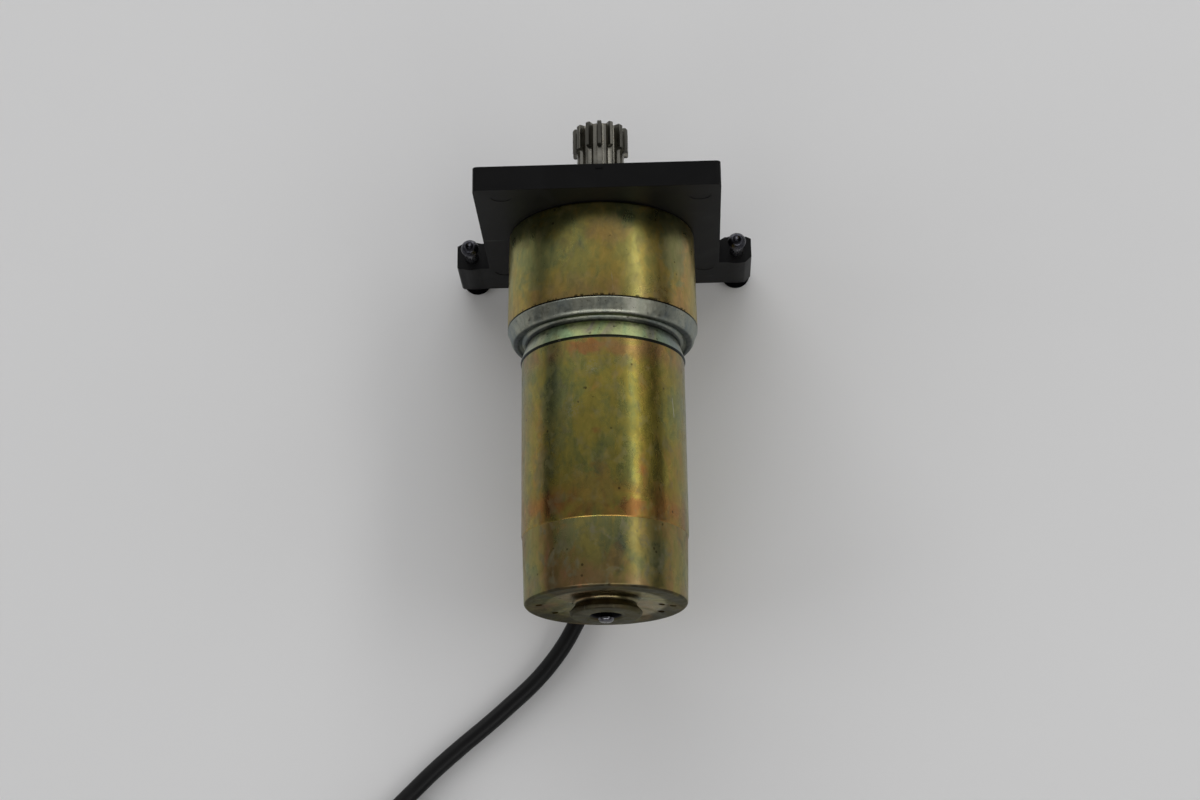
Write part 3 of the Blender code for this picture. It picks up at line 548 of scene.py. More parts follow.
def zinc_mat():
    m = Mat("bright_zinc", metal=1.0, Specular_Tint=(0.92, 0.97, 1.0, 1.0))
    big = m.noise(m.map((60, 30, 60), (4, 2, 9)), 1.0, 3.0, 0.55, 0.8)
    mid = m.noise(m.map((260, 160, 260), (1, 8, 3)), 1.0, 4.0, 0.6, 0.6)
    d = m.math("ADD", m.math("MULTIPLY", big, 0.65), m.math("MULTIPLY", mid, 0.35))
    col = m.ramp(m.range(d, 0.39, 0.61), [(0.0, (0.20, 0.225, 0.215)), (0.4, (0.275, 0.29, 0.245)),
                                          (0.7, (0.33, 0.335, 0.27)), (1.0, (0.40, 0.40, 0.335))],
                 "EASE")
    # the film turns green and straw-yellow on the upper side of the narrow band
    x, y, z = m.xyz()
    band = m.math("MULTIPLY", m.range(y, y_row(-31.9), y_row(-32.8), 0.0, 1.0, True),
                  m.range(z, 0.046, 0.060, 0.0, 1.0, True))
    patch = m.noise(m.map((110, 40, 110), (7, 7, 1)), 1.0, 3.0, 0.6, 0.8)
    green = m.ramp(m.range(patch, 0.38, 0.62), [(0.0, (0.40, 0.33, 0.15)), (0.45, (0.35, 0.39, 0.17)),
                                               (1.0, (0.26, 0.37, 0.19))], "EASE")
    col = m.mix(m.math("MULTIPLY", band, m.range(patch, 0.34, 0.52, 0.25, 0.95, True)), col, green)
    speck = m.noise(m.map((800, 500, 800), (5, 3, 1)), 1.0, 4.0, 0.65, 0.4)
    shade = m.ramp(m.range(speck, 0.34, 0.66), [(0.0, 0.78), (0.5, 0.99), (1.0, 1.15)], "EASE")
    col = m.mix(1.0, col, shade, "MULTIPLY")
    # painted light: the narrow band's colour is raised to brighten it against the shade and dark reflection from
    # the shoulder above; its rear edge is dark at the seam with the can
    col = m.mix(m.range(y, y_row(-33.0), y_row(-33.6), 0.0, 1.0, True), col, (1.32, 1.32, 1.30), "MULTIPLY")
    col = m.mix(m.range(y, y_row(-37.50), y_row(-37.60), 0.0, 0.97, True), col, (0.012, 0.012, 0.010))
    # painted shade: the recess of the step is darkened nearly to black, mottled a little
    step = m.math("MULTIPLY", m.range(y, y_row(-31.8), y_row(-32.2), 0.0, 1.0, True),
                  m.range(y, y_row(-32.8), y_row(-33.4), 1.0, 0.0, True))
    col = m.mix(m.math("MULTIPLY", step, m.range(speck, 0.35, 0.6, 0.82, 0.97)), col, (0.030, 0.032, 0.028))
    dirt = m.noise(m.map((700, 700, 700), (2, 5, 1)), 1.0, 3.0, 0.7)
    pit = m.range(dirt, 0.62, 0.68, 0.0, 0.8, True)
    col = m.mix(pit, col, (0.10, 0.09, 0.07))
    m.set("Base Color", col)
    m.set("Roughness", m.range(speck, 0.35, 0.65, 0.32, 0.46))
    rings = m.noise(m.map((70, 4800, 70), (3, 3, 3)), 1.0, 3.0, 0.6)
    dents = m.noise(m.map((420, 420, 420), (9, 1, 4)), 1.0, 2.0, 0.5)
    m.set("Normal", m.bump(dents, 0.45, 0.00006, m.bump(rings, 0.25, 0.00003)))
    return m.m


def steel_mat(name, tone, rough, seed=0.0, lines=(40, 3800, 40), warm=0.0, strength=0.25, tooth_painted_shade=None):
    """Bare machined steel: fine tool lines, slight staining."""
    m = Mat(name, metal=1.0)
    o = (seed, seed * 2.0, seed * 0.7)
    a = m.noise(m.map((160, 160, 160), o), 1.0, 4.0, 0.6, 0.5)
    b = m.noise(m.map((900, 900, 900), o), 1.0, 3.0, 0.6)
    lo = tuple(c * 0.80 for c in tone)
    hi = tuple(min(1.0, c * 1.12) for c in tone)
    stain = (tone[0] * (0.72 + warm), tone[1] * 0.66, tone[2] * (0.56 - 0.3 * warm))
    col = m.ramp(m.range(a, 0.34, 0.66), [(0.0, lo), (0.55, tone), (1.0, hi)], "EASE")
    col = m.mix(m.range(b, 0.56, 0.70, 0.0, 0.5, True), col, stain)
    if tooth_painted_shade:
        # painted shade: tooth crests and flanks are darkened against the gap floors, less so on the turned-down
        # part
        x, y, z = m.xyz()
        dz = m.math("SUBTRACT", z, AXIS_H * MM)
        r = m.math("SQRT", m.math("ADD", m.math("MULTIPLY", x, x), m.math("MULTIPLY", dz, dz)))
        f = m.math("MULTIPLY", m.range(r, tooth_painted_shade[0], tooth_painted_shade[1], 0.0, 1.0, True),
                   m.range(y, y_row(26.0), y_row(26.4), 0.35, 1.0, True))
        col = m.mix(f, col, tuple(c * tooth_painted_shade[2] for c in tone))
    m.set("Base Color", col)
    m.set("Roughness", m.range(a, 0.3, 0.7, rough - 0.05, rough + 0.09))
    cut = m.noise(m.map(lines, o), 1.0, 3.0, 0.6)
    m.set("Normal", m.bump(b, 0.12, 0.00004, m.bump(cut, strength, 0.00003)))
    return m.m


def plastic_mat(name, tone, rough=0.42, fine=2400.0, seed=0.0, streaks=0.0, spec=0.5, wave=0.3,
                scratches=0.0, top=None):
    """Moulded or extruded plastic: faint flow marks, fine grain and a little dust."""
    m = Mat(name, metal=0.0, Specular_IOR_Level=spec)
    o = (seed, seed + 4.0, seed * 2.0)
    a = m.noise(m.map((45, 45, 45), o), 1.0, 4.0, 0.6, 1.2)
    g = m.noise(m.map((fine, fine, fine), o), 1.0, 3.0, 0.6)
    lo = tuple(c * 0.82 for c in tone)
    hi = tuple(c * 1.25 + 0.002 for c in tone)
    col = m.ramp(m.range(a, 0.32, 0.68), [(0.0, lo), (0.5, tone), (1.0, hi)], "EASE")
    dust = m.range(m.noise(m.map((1500, 1500, 1500), o), 1.0, 2.0, 0.7), 0.68, 0.76, 0.0, 0.35, True)
    col = m.mix(dust, col, tuple(c * 0.5 + 0.06 for c in tone))
    rough_out = m.range(a, 0.3, 0.7, rough - 0.06, rough + 0.08)
    h = m.math("MULTIPLY", g, 0.5)
    if scratches:
        s = m.noise(m.map((40, 40, 1100), (o[0], o[1], o[2] + 9), (0.5, 0.0, 0.3)), 1.0, 2.0, 0.5, 0.3)
        gate = m.range(m.noise(m.map((70, 70, 70), o), 1.0, 2.0), 0.54, 0.62, 0.0, 1.0, True)
        line = m.math("MULTIPLY", m.range(s, 0.69, 0.73, 0.0, scratches, True), gate)
        col = m.mix(line, col, tuple(c * 0.6 + 0.10 for c in tone))
        h = m.math("SUBTRACT", h, line)
    if streaks:
        st = m.noise(m.map((30, 700, 30), o), 1.0, 2.0, 0.5)
        rough_out = m.math("ADD", rough_out, m.math("MULTIPLY", st, streaks))
    if top:
        # painted shade: the plate's top edge face is darkened to deeper black
        col = m.mix(m.range(m.xyz()[2], top, top + 0.0003, 0.0, 0.75, True), col, (0.0012, 0.0012, 0.0013))
    m.set("Base Color", col)
    m.set("Roughness", rough_out)
    w = m.bump(m.noise(m.map((120, 120, 120), o), 1.0, 2.0), wave, 0.00012)
    m.set("Normal", m.bump(h, 0.28, 0.00003, w))
    return m.m


def black_steel_mat(name="black_oxide_steel", painted_highlight=False):
    m = Mat(name, metal=1.0)
    a = m.noise(m.map((500, 500, 500), (3, 1, 2)), 1.0, 4.0, 0.6)
    b = m.noise(m.map((2600, 2600, 900), (3, 1, 2)), 1.0, 3.0, 0.6)
    col = m.ramp(m.range(a, 0.34, 0.68), [(0.0, (0.030, 0.030, 0.036)), (0.6, (0.062, 0.062, 0.072)),
                                          (1.0, (0.11, 0.108, 0.118))], "EASE")
    if painted_highlight:
        # painted highlight: the shank is given a light colour between the lug and its tip
        highlight_tone = m.ramp(m.range(a, 0.34, 0.68), [(0.0, (0.16, 0.16, 0.175)), (1.0, (0.34, 0.34, 0.36))])
        col = m.mix(m.range(m.xyz()[2], 0.0249, 0.0253, 1.0, 0.0, True), col, highlight_tone)
    m.set("Base Color", col)
    m.set("Roughness", m.range(b, 0.35, 0.65, 0.22, 0.38))
    m.set("Normal", m.bump(b, 0.2, 0.00004))
    return m.m


def inner_mat(name, tone, rough, metal, grain=600.0, bump=0.2, accent=None, lines=None):
    """Parts inside the shells."""
    m = Mat(name, metal=metal)
    a = m.noise(m.map((grain * 0.3,) * 3), 1.0, 4.0, 0.6)
    b = m.noise(m.map(lines if lines else (grain * 3,) * 3), 1.0, 3.0, 0.6)
    accent = accent or tuple(c * 0.6 for c in tone)
    col = m.ramp(m.range(a, 0.3, 0.7), [(0.0, accent), (0.5, tone),
                                        (1.0, tuple(min(1.0, c * 1.15) for c in tone))], "EASE")
    m.set("Base Color", col)
    m.set("Roughness", m.range(b, 0.3, 0.7, max(0.05, rough - 0.08), min(1.0, rough + 0.1)))
    m.set("Normal", m.bump(b, bump, 0.00006))
    return m.m


HOUSING = chromate("yellow_chromate_housing", 1.0,
                   [(0.235, 0.27, 0.118), (0.345, 0.31, 0.094), (0.41, 0.305, 0.078), (0.445, 0.275, 0.092)],
                   rough=(0.26, 0.37), cloud=0.35, scuffs=0.45, dirt=(-26.9, -27.7), spread=(0.39, 0.61),
                   ends=[(-20.0, -27.5, (0.38, 0.24, 0.115), 0.6), (-9.0, -2.0, (0.20, 0.22, 0.10), 0.75)],
                   blots=[(-17.0, -12.0, 19.0, 7.0, 1.8, (0.20, 0.24, 0.11), 0.6),
                          (-9.0, -4.5, 23.8, 5.0, 0.6, (0.22, 0.25, 0.10), 0.5),
                          (3.0, -8.0, 25.3, 6.0, 0.7, (0.44, 0.27, 0.11), 0.45),
                          (20.0, -10.0, 15.8, 6.0, 2.0, (0.20, 0.25, 0.13), 0.6)])
CAN = chromate("yellow_chromate_can", 2.3,
               [(0.175, 0.195, 0.095), (0.23, 0.23, 0.070), (0.295, 0.245, 0.054), (0.33, 0.215, 0.054),
                (0.35, 0.175, 0.070)],
               rough=(0.22, 0.33), cloud=0.5, scuffs=0.5, spread=(0.37, 0.63), tint=(0.97, 0.98, 1.0),
               ends=[(-46.0, -40.0, (0.33, 0.185, 0.080), 0.8), (-76.0, -84.0, (0.34, 0.155, 0.048), 0.85)],
               blots=[(-4.0, -40.6, 21.3, 5.0, 0.45, (0.36, 0.135, 0.055), 0.7),
                      (4.0, -42.2, 21.2, 3.2, 0.5, (0.35, 0.16, 0.055), 0.5),
                      (-12.7, -83.6, 17.5, 3.6, 0.9, (0.34, 0.125, 0.045), 0.75),
                      (7.5, -85.0, 20.3, 4.6, 0.6, (0.34, 0.135, 0.05), 0.7),
                      (-1.3, -64.4, 21.6, 1.3, 1.0, (0.32, 0.14, 0.05), 0.6),
                      (10.2, -74.9, 19.0, 1.8, 1.0, (0.38, 0.15, 0.045), 0.7),
                      (-0.5, -75.5, 21.6, 3.0, 1.1, (0.30, 0.17, 0.055), 0.5),
                      (-2.0, -80.0, 21.5, 7.0, 0.8, (0.38, 0.26, 0.065), 0.6),
                      (-12.0, -57.3, 18.0, 5.5, 2.2, (0.165, 0.19, 0.095), 0.45),
                      (-15.0, -72.0, 15.6, 4.0, 1.7, (0.165, 0.19, 0.10), 0.5),
                      (12.0, -60.0, 18.0, 3.0, 5.0, (0.36, 0.29, 0.05), 0.6)],
               marks=[(-2.0, -46.6, 21.5, 3.2, 0.9, (0.40, 0.39, 0.30), 0.55),
                      (10.2, -60.5, 19.1, 1.3, 0.9, (0.46, 0.45, 0.38), 0.6),
                      (-7.5, -57.0, 20.3, 4.0, 1.3, (0.36, 0.35, 0.27), 0.4)])
CAP = chromate("yellow_chromate_cap", 5.1,
               [(0.165, 0.18, 0.105), (0.20, 0.205, 0.085), (0.265, 0.225, 0.072), (0.27, 0.185, 0.066),
                (0.30, 0.155, 0.072)],
               rough=(0.25, 0.37), cloud=0.85, scuffs=0.5, turned=0.2, spread=(0.38, 0.61), rear=-105.9,
               ends=[(-99.0, -104.5, (0.31, 0.19, 0.10), 0.6), (-105.5, -105.95, (0.10, 0.09, 0.055), 1.0),
                     (-105.5, -105.95, (0.115, 0.095, 0.06), 0.6)],
               blots=[(-9.0, -92.0, 19.6, 3.4, 1.6, (0.175, 0.20, 0.10), 0.6),
                      (3.5, -99.0, 21.3, 3.0, 1.3, (0.27, 0.155, 0.07), 0.5),
                      (-3.0, -95.0, 21.3, 2.4, 1.6, (0.31, 0.26, 0.07), 0.6),
                      (9.0, -94.0, 19.6, 3.4, 1.4, (0.36, 0.28, 0.08), 0.5),
                      (14.0, -97.0, 16.4, 3.0, 1.6, (0.19, 0.20, 0.10), 0.6),
                      (0.0, -107.0, 0.0, 13.5, 1.0, (0.12, 0.108, 0.066), 0.7)])
ZINC = zinc_mat()
STEEL = steel_mat("machined_steel", (0.44, 0.43, 0.38), 0.30, 2.0, warm=0.04)
# the pinion's tooth crests and flanks are darkened, painted shade
PINION_STEEL = steel_mat("pinion_steel", (0.24, 0.232, 0.200), 0.27, 6.0, lines=(1800, 60, 1800),
                         warm=0.06, strength=0.30, tooth_painted_shade=(0.0066, 0.0074, 0.46))
SHAFT_STEEL = steel_mat("ground_shaft_steel", (0.12, 0.12, 0.132), 0.20, 4.0)
BLACK_STEEL = black_steel_mat()
# the lug screws' shanks are lightened between lug and end, a painted highlight
LUG_STEEL = black_steel_mat("screw_steel_painted_highlight", True)
# the plate's top edge face is darkened, painted shade
PLATE = plastic_mat("black_glass_nylon", (0.0062, 0.0062, 0.0066), 0.44, 2600, 3.0, scratches=0.35,
                    wave=0.35, spec=0.13, top=0.0709)
CABLE = plastic_mat("cable_jacket_black", (0.0035, 0.0035, 0.0038), 0.40, 1800, 8.0, streaks=0.08,
                    spec=0.22, wave=0.25)
BOOT = plastic_mat("boot_rubber_black", (0.006, 0.006, 0.0063), 0.52, 1500, 11.0, spec=0.3)
TIE = plastic_mat("tie_nylon_black", (0.018, 0.018, 0.019), 0.36, 1400, 13.0)
CONNECTOR = plastic_mat("connector_natural_nylon", (0.66, 0.63, 0.54), 0.40, 1500, 17.0,
                        spec=0.45)
BRONZE = inner_mat("sintered_bronze", (0.42, 0.26, 0.12), 0.45, 1.0, 1500, 0.4)
BRASS = inner_mat("turned_brass", (0.62, 0.45, 0.16), 0.28, 1.0, 900, 0.2, lines=(60, 4200, 60))
LAMINATE = inner_mat("core_laminations", (0.22, 0.22, 0.23), 0.45, 1.0, 700, 0.8,
                     lines=(20, 1900, 20))
COPPER = inner_mat("enamelled_copper", (0.50, 0.20, 0.07), 0.32, 1.0, 500, 0.9, lines=(900, 60, 900),
                   accent=(0.30, 0.10, 0.035))
FERRITE = inner_mat("sintered_ferrite", (0.045, 0.045, 0.05), 0.62, 0.0, 1200, 0.4)
CARD = inner_mat("laminate_card", (0.28, 0.16, 0.08), 0.55, 0.0, 700, 0.4, lines=(1500, 1500, 150))
CARBON = inner_mat("brush_carbon", (0.028, 0.028, 0.03), 0.6, 0.0, 1500, 0.4)
# painted shade: flat near-black with no gloss, for the lug screws' heads under the lugs
HEAD_PAINTED_SHADE = inner_mat("head_painted_shade", (0.0035, 0.0035, 0.0038), 0.55, 0.0, 1200, 0.3)
HEAD_PAINTED_SHADE.node_tree.nodes["Principled BSDF"].inputs["Specular IOR Level"].default_value = 0.0
DARK_BORE_STEEL = inner_mat("dark_bore_steel", (0.030, 0.030, 0.033), 0.5, 1.0, 900, 0.3)
RED = inner_mat("red_insulation", (0.42, 0.02, 0.018), 0.4, 0.0, 900, 0.15)

node_mat = {}
for names, mat in (
        (("thrust_washer", "output_bush"), BRONZE),
        (("ring_gear", "middle_carrier", "front_bearing", "brush_spring_left",
          "brush_spring_right", "output_shaft"), STEEL), (("rear_bearing",), DARK_BORE_STEEL),
        (tuple("planet_%s_%d" % (a, k) for a in ("front", "rear") for k in (1, 2, 3)), STEEL),
        (tuple("planet_pin_%s_%d" % (a, k) for a in ("front", "rear") for k in (1, 2, 3)), SHAFT_STEEL),
        (("motor_shaft",), SHAFT_STEEL),
        (("motor_pinion", "commutator", "brush_holder_left", "brush_holder_right",
          "connector_contact_1", "connector_contact_2"), BRASS),
        (("rotor_core",), LAMINATE), (("armature_winding",), COPPER),
        (("magnet_left", "magnet_right"), FERRITE), (("brush_card",), CARD),
        (("brush_left", "brush_right"), CARBON), (("inner_lead_negative",), CABLE),
        (("inner_lead_positive",), RED), (("output_snap_ring",), BLACK_STEEL),
        (("lead_cable", "lead_coil", "lead_tail", "cable_boot"), CABLE), (("cable_tie",), TIE),
        (("lead_connector",), CONNECTOR), (("mounting_plate",), PLATE),
        (("gear_housing",), HOUSING), (("motor_can",), CAN), (("rear_cap",), CAP),
        (("motor_flange",), ZINC), (("output_pinion",), PINION_STEEL),
        (("lug_screw_left", "lug_screw_right", "plate_screw_1", "plate_screw_2", "plate_screw_3",
          "plate_screw_4"), BLACK_STEEL)):
    for n in names:
        node_mat[n] = mat
for n, ob in NODES.items():
    ob.data.materials.clear()
    ob.data.materials.append(node_mat.get(n, STEEL))

# =============================================================== the lead
LEAD_D = 4.6
LEAD_R = LEAD_D / 2.0
COIL_C = (-54.6, -186.3)
COIL_OUT, COIL_IN, COIL_TOP = 26.8, 22.2, 24.5
COIL_Z = 3.3
TAIL_RUN = 38.0
TAIL_BEND = 0.0024
BOOT_Y = -92.2
BOOT_TILT = 10.0
BOOT_END = Vector((-7.6, -98.9, 4.0))
LEAD_DIR = Vector((-0.46, -0.888, 0.0)).normalized()


def smooth01(t):
    t = min(1.0, max(0.0, t))
    return t * t * (3.0 - 2.0 * t)


def lead_route():
    """The lead's route in mm: x, y from the plate's back, z above the table."""
    a = BOOT_END + LEAD_DIR * 0.3
    pts = [(a.x, a.y, 4.0), (-9.5, -102.5, 3.8), (-12.8, -108.3, 3.2), (-16.9, -113.9, 2.75),
           (-21.6, -119.2, 2.5), (-27.7, -124.8, 2.35), (-34.6, -130.8, 2.3), (-41.9, -136.8, 2.3),
           (-49.2, -143.2, 2.3), (-58.0, -151.8, 2.35)]
    cx, cy = COIL_C
    start = 135.0
    tx, ty = cx + COIL_OUT * math.cos(math.radians(start)), cy + COIL_OUT * math.sin(math.radians(start))
    pts.append((tx + 0.7071 * 11.0, ty + 0.7071 * 11.0, 2.85))
    total = 720.0 + (270.0 - start)
    n = int(total / 360.0 * 20)
    for i in range(n + 1):
        s = total * i / n
        ang = math.radians(start + s)
        if s < 360.0:
            r, z = COIL_OUT + (COIL_IN - COIL_OUT) * smooth01((s - 270.0) / 90.0), COIL_Z
        elif s < 720.0:
            r = COIL_IN + (COIL_TOP - COIL_IN) * smooth01((s - 622.0) / 50.0)
            z = COIL_Z + 4.6 * smooth01((s - 595.0) / 60.0)
        else:
            r = COIL_TOP
            z = max(COIL_Z + 4.6 - 0.6 * smooth01((s - 735.0) / 60.0),
                    7.3 + 0.6 * smooth01((s - (total - 40.0)) / 40.0))
        pts.append((cx + r * math.cos(ang), cy + r * math.sin(ang), z))
    ex = pts[-1]
    for s, z in ((7, 7.9), (13, 7.8), (18, 7.3), (23, 6.3), (28, 5.0), (33, 3.8), (TAIL_RUN, 3.3)):
        pts.append((ex[0] + s, ex[1] + TAIL_BEND * s * s, z))
    return pts


route = lead_route()
lead_points = [T(*p) for p in catmull([Vector(p) for p in route], 1.25)]
lead = new_object("lead_jacket", sweep(lead_points, [LEAD_R * MM] * len(lead_points), 36), CABLE, 60.0)
piece(lead, "motor_body", ("lead_cable", "lead_coil", "lead_tail"))

# connector, tie and boot geometry share the lead's stations
end = route[-1]
tail_dir = math.atan(2.0 * TAIL_BEND * TAIL_RUN)
tail_x = Vector((math.cos(tail_dir), math.sin(tail_dir), 0.0))
tail_y = Vector((-math.sin(tail_dir), math.cos(tail_dir), 0.0))


def in_tail(x, y, z):
    """Point in the connector's own axes (mm): x along the lead from its end."""
    p = Vector((end[0], end[1], 0.0)) + tail_x * x + tail_y * y
    return T(p.x, p.y, z)


def tail_box(x0, x1, y0, y1, z0, z1):
    bm = bmesh.new()
    c = [[bm.verts.new(in_tail(x, y, z)) for x, y in ((x0, y0), (x1, y0), (x1, y1), (x0, y1))]
         for z in (z0, z1)]
    for k in range(4):
        bm.faces.new((c[0][k], c[0][(k + 1) % 4], c[1][(k + 1) % 4], c[1][k]))
    bm.faces.new(c[0][::-1])
    bm.faces.new(c[1])
    bmesh.ops.recalc_face_normals(bm, faces=bm.faces)
    return bm


def tail_tube(x0, x1, y, z, r, n=24):
    bm = bmesh.new()
    rings = [[bm.verts.new(in_tail(x, y + r * math.cos(2 * math.pi * k / n),
                                   z + r * math.sin(2 * math.pi * k / n))) for k in range(n)]
             for x in (x0, x1)]
    for k in range(n):
        bm.faces.new((rings[0][k], rings[0][(k + 1) % n], rings[1][(k + 1) % n], rings[1][k]))
    bm.faces.new(rings[0][::-1])
    bm.faces.new(rings[1])
    bmesh.ops.recalc_face_normals(bm, faces=bm.faces)
    return bm


conn = new_object("connector_shell", tail_box(0.3, 14.3, -4.0, 4.0, 0.0, 6.6), CONNECTOR)
boolean(conn, [tail_box(8.3, 15.5, s * 1.9 - 1.3, s * 1.9 + 1.3, 1.6, 5.0) for s in (-1, 1)]
        + [tail_box(11.2, 15.5, -4.6, -3.5, 4.6, 7.2), tail_box(11.2, 15.5, 3.5, 4.6, 4.6, 7.2)]
        + [tail_box(2.0, 5.2, -4.6, -3.6, 1.5, 5.1), tail_box(2.0, 5.2, 3.6, 4.6, 1.5, 5.1)])
boolean(conn, [tail_box(5.6, 7.4, -1.5, 1.5, 6.0, 7.3)], "UNION")
soften(conn, 0.22, 3)
piece(conn, "motor_body", ("lead_connector",))
sleeve = new_object("connector_sleeve", sweep(
    [in_tail(x, 0.0, 3.3) for x in (-4.2, -3.6, -3.0, -1.5, 0.0, 0.25)],
    [r * MM for r in (2.34, 2.62, 2.72, 2.86, 3.0, 3.0)], 36), CABLE, 60.0)
piece(sleeve, "motor_body", ())


def cable_tie():
    """Band round the three runs of the coil, with its locking head and cut tail."""
    runs = []
    for turn in (0.0, 360.0, 720.0):
        s = 65.0 + turn
        if turn == 0.0:
            r, z = COIL_OUT, COIL_Z
        elif turn == 360.0:
            r, z = COIL_IN, COIL_Z
        else:
            r = COIL_TOP
            z = max(COIL_Z + 4.6 - 0.6 * smooth01((s - 735.0) / 60.0), 7.3)
        runs.append((r, z))

    def hull(radius, step=6.0):
        """Convex outline of circles round the runs, anticlockwise in (r, z)."""
        pts = []
        for r, z in runs:
            for k in range(int(360 / step)):
                a = math.radians(k * step)
                pts.append((r + radius * math.cos(a), z + radius * math.sin(a)))
        pts = sorted(set((round(x, 5), round(y, 5)) for x, y in pts))

        def half(seq):
            out = []
            for p in seq:
                while len(out) > 1 and ((out[-1][0] - out[-2][0]) * (p[1] - out[-2][1])
                                        - (out[-1][1] - out[-2][1]) * (p[0] - out[-2][0])) <= 0:
                    out.pop()
                out.append(p)
            return out

        lo, up = half(pts), half(pts[::-1])
        return lo[:-1] + up[:-1]

    def resample(loop, n):
        pts = [Vector(p) for p in loop] + [Vector(loop[0])]
        d = [0.0]
        for a, b in zip(pts, pts[1:]):
            d.append(d[-1] + (b - a).length)
        out, j = [], 0
        for k in range(n):
            w = d[-1] * k / n
            while d[j + 1] < w:
                j += 1
            t = (w - d[j]) / max(1e-9, d[j + 1] - d[j])
            out.append(pts[j].lerp(pts[j + 1], t))
        return out

    ang = math.radians(200.0)
    er = Vector((math.cos(ang), math.sin(ang), 0.0))
    et = Vector((-math.sin(ang), math.cos(ang), 0.0))

    def at(r, z, w):
        p = Vector((COIL_C[0], COIL_C[1], 0.0)) + er * r + et * w
        return T(p.x, p.y, z)

    n = 120
    inner, outer = resample(hull(LEAD_R + 0.1), n), []
    mid = Vector((sum(p.x for p in inner) / n, sum(p.y for p in inner) / n))
    for k in range(n):
        t = (inner[(k + 1) % n] - inner[k - 1]).normalized()
        nrm = Vector((t.y, -t.x))
        if nrm.dot(inner[k] - mid) < 0:
            nrm = -nrm
        outer.append(inner[k] + nrm * 0.62)
    bm = bmesh.new()
    half_w = 1.5
    sections = []
    for k in range(n):
        i, o = inner[k], outer[k]
        m = i.lerp(o, 0.75)
        ring = [at(i.x, i.y, -half_w), at(m.x, m.y, -half_w), at(o.x, o.y, -half_w + 0.18),
                at(o.x, o.y, half_w - 0.18), at(m.x, m.y, half_w), at(i.x, i.y, half_w)]
        sections.append([bm.verts.new(p) for p in ring])
    for k in range(n):
        a, b = sections[k], sections[(k + 1) % n]
        for j in range(6):
            bm.faces.new((a[j], a[(j + 1) % 6], b[(j + 1) % 6], b[j]))
    band = new_object("tie_band", bm, TIE, 50.0)

    # head on the outer side, half way up, with the cut tail standing out of it
    def block(r0, r1, z0, z1, w):
        b2 = bmesh.new()
        c = [[b2.verts.new(at(r, z, ww)) for r, ww in ((r0, -w), (r1, -w), (r1, w), (r0, w))]
             for z in (z0, z1)]
        for k in range(4):
            b2.faces.new((c[0][k], c[0][(k + 1) % 4], c[1][(k + 1) % 4], c[1][k]))
        b2.faces.new(c[0][::-1])
        b2.faces.new(c[1])
        bmesh.ops.recalc_face_normals(b2, faces=b2.faces)
        return b2

    r_out = COIL_OUT + LEAD_R + 0.1 + 0.3
    head = new_object("tie_head", block(r_out, r_out + 3.1, 2.2, 6.4, 2.3), TIE)
    boolean(head, [block(r_out + 1.9, r_out + 2.7, 1.0, 8.0, 1.55)])
    soften(head, 0.3, 3)
    tail = new_object("tie_tail", block(r_out + 2.0, r_out + 2.6, 2.6, 8.2, 1.4), TIE)
    soften(tail, 0.12, 2)
    for o in (band, head, tail):
        piece(o, "motor_body", ("cable_tie",) if o is band else ())
    return band, head, tail


tie_band, tie_head, tie_tail = cable_tie()


def lead_boot():
    """Moulded right-angle boot: stem through the cap wall, collar, tapered barrel with relief rings."""
    c, s = math.cos(math.radians(BOOT_TILT)), math.sin(math.radians(BOOT_TILT))

    def radial(r):
        return Vector((-s * r, BOOT_Y, AXIS_H - c * r))

    pts, rad = [], []

    def add(p, r):
        pts.append(T(p.x, p.y, p.z))
        rad.append(r * MM)

    for r, rr in ((17.5, 4.6), (17.6, 4.85), (18.2, 4.9), (18.3, 4.7), (18.45, 4.15), (20.5, 4.1),
                  (21.95, 4.1), (22.05, 5.2), (22.25, 5.55), (23.8, 5.6), (24.3, 5.35), (25.0, 4.7)):
        add(radial(r), rr)
    a, b = radial(26.2), BOOT_END - LEAD_DIR * 3.5
    mid = Vector((a.x - 0.6, a.y - 0.8, b.z + 1.2))
    n = 16
    for k in range(n + 1):
        t = k / n
        q = a.lerp(mid, t).lerp(mid.lerp(b, t), t)
        add(q, 4.35 - 0.35 * t)
    for k in range(1, 15):
        t = k / 14.0
        ring = 0.22 * (1.0 if (k // 2) % 2 == 0 else 0.0)
        add(b.lerp(BOOT_END, t), 3.9 - 0.75 * t + ring - 0.1)
    return sweep(pts, rad, 48)


boot = new_object("lead_boot_moulding", lead_boot(), BOOT, 42.0)
piece(boot, "motor_body", ("cable_boot",))

# =============================================================== mounting plate
HALF_W, P_TOP, P_BOT, P_T = 33.4, 34.4, -33.9, 7.0
LUG_W, LUG_TOP, LUG_X = 42.8, -18.6, 38.5
HOLE_R = 2.25
R_SPIGOT = 12.0
FIX_R = 18.0


def rounded_rect(x0, x1, z0, z1, r, steps=6):
    out = []
    for cx, cz, a0 in ((x1 - r, z1 - r, 0), (x0 + r, z1 - r, 90), (x0 + r, z0 + r, 180),
                       (x1 - r, z0 + r, 270)):
        for k in range(steps + 1):
            a = math.radians(a0 + 90.0 * k / steps)
            out.append((cx + r * math.cos(a), cz + r * math.sin(a)))
    return out


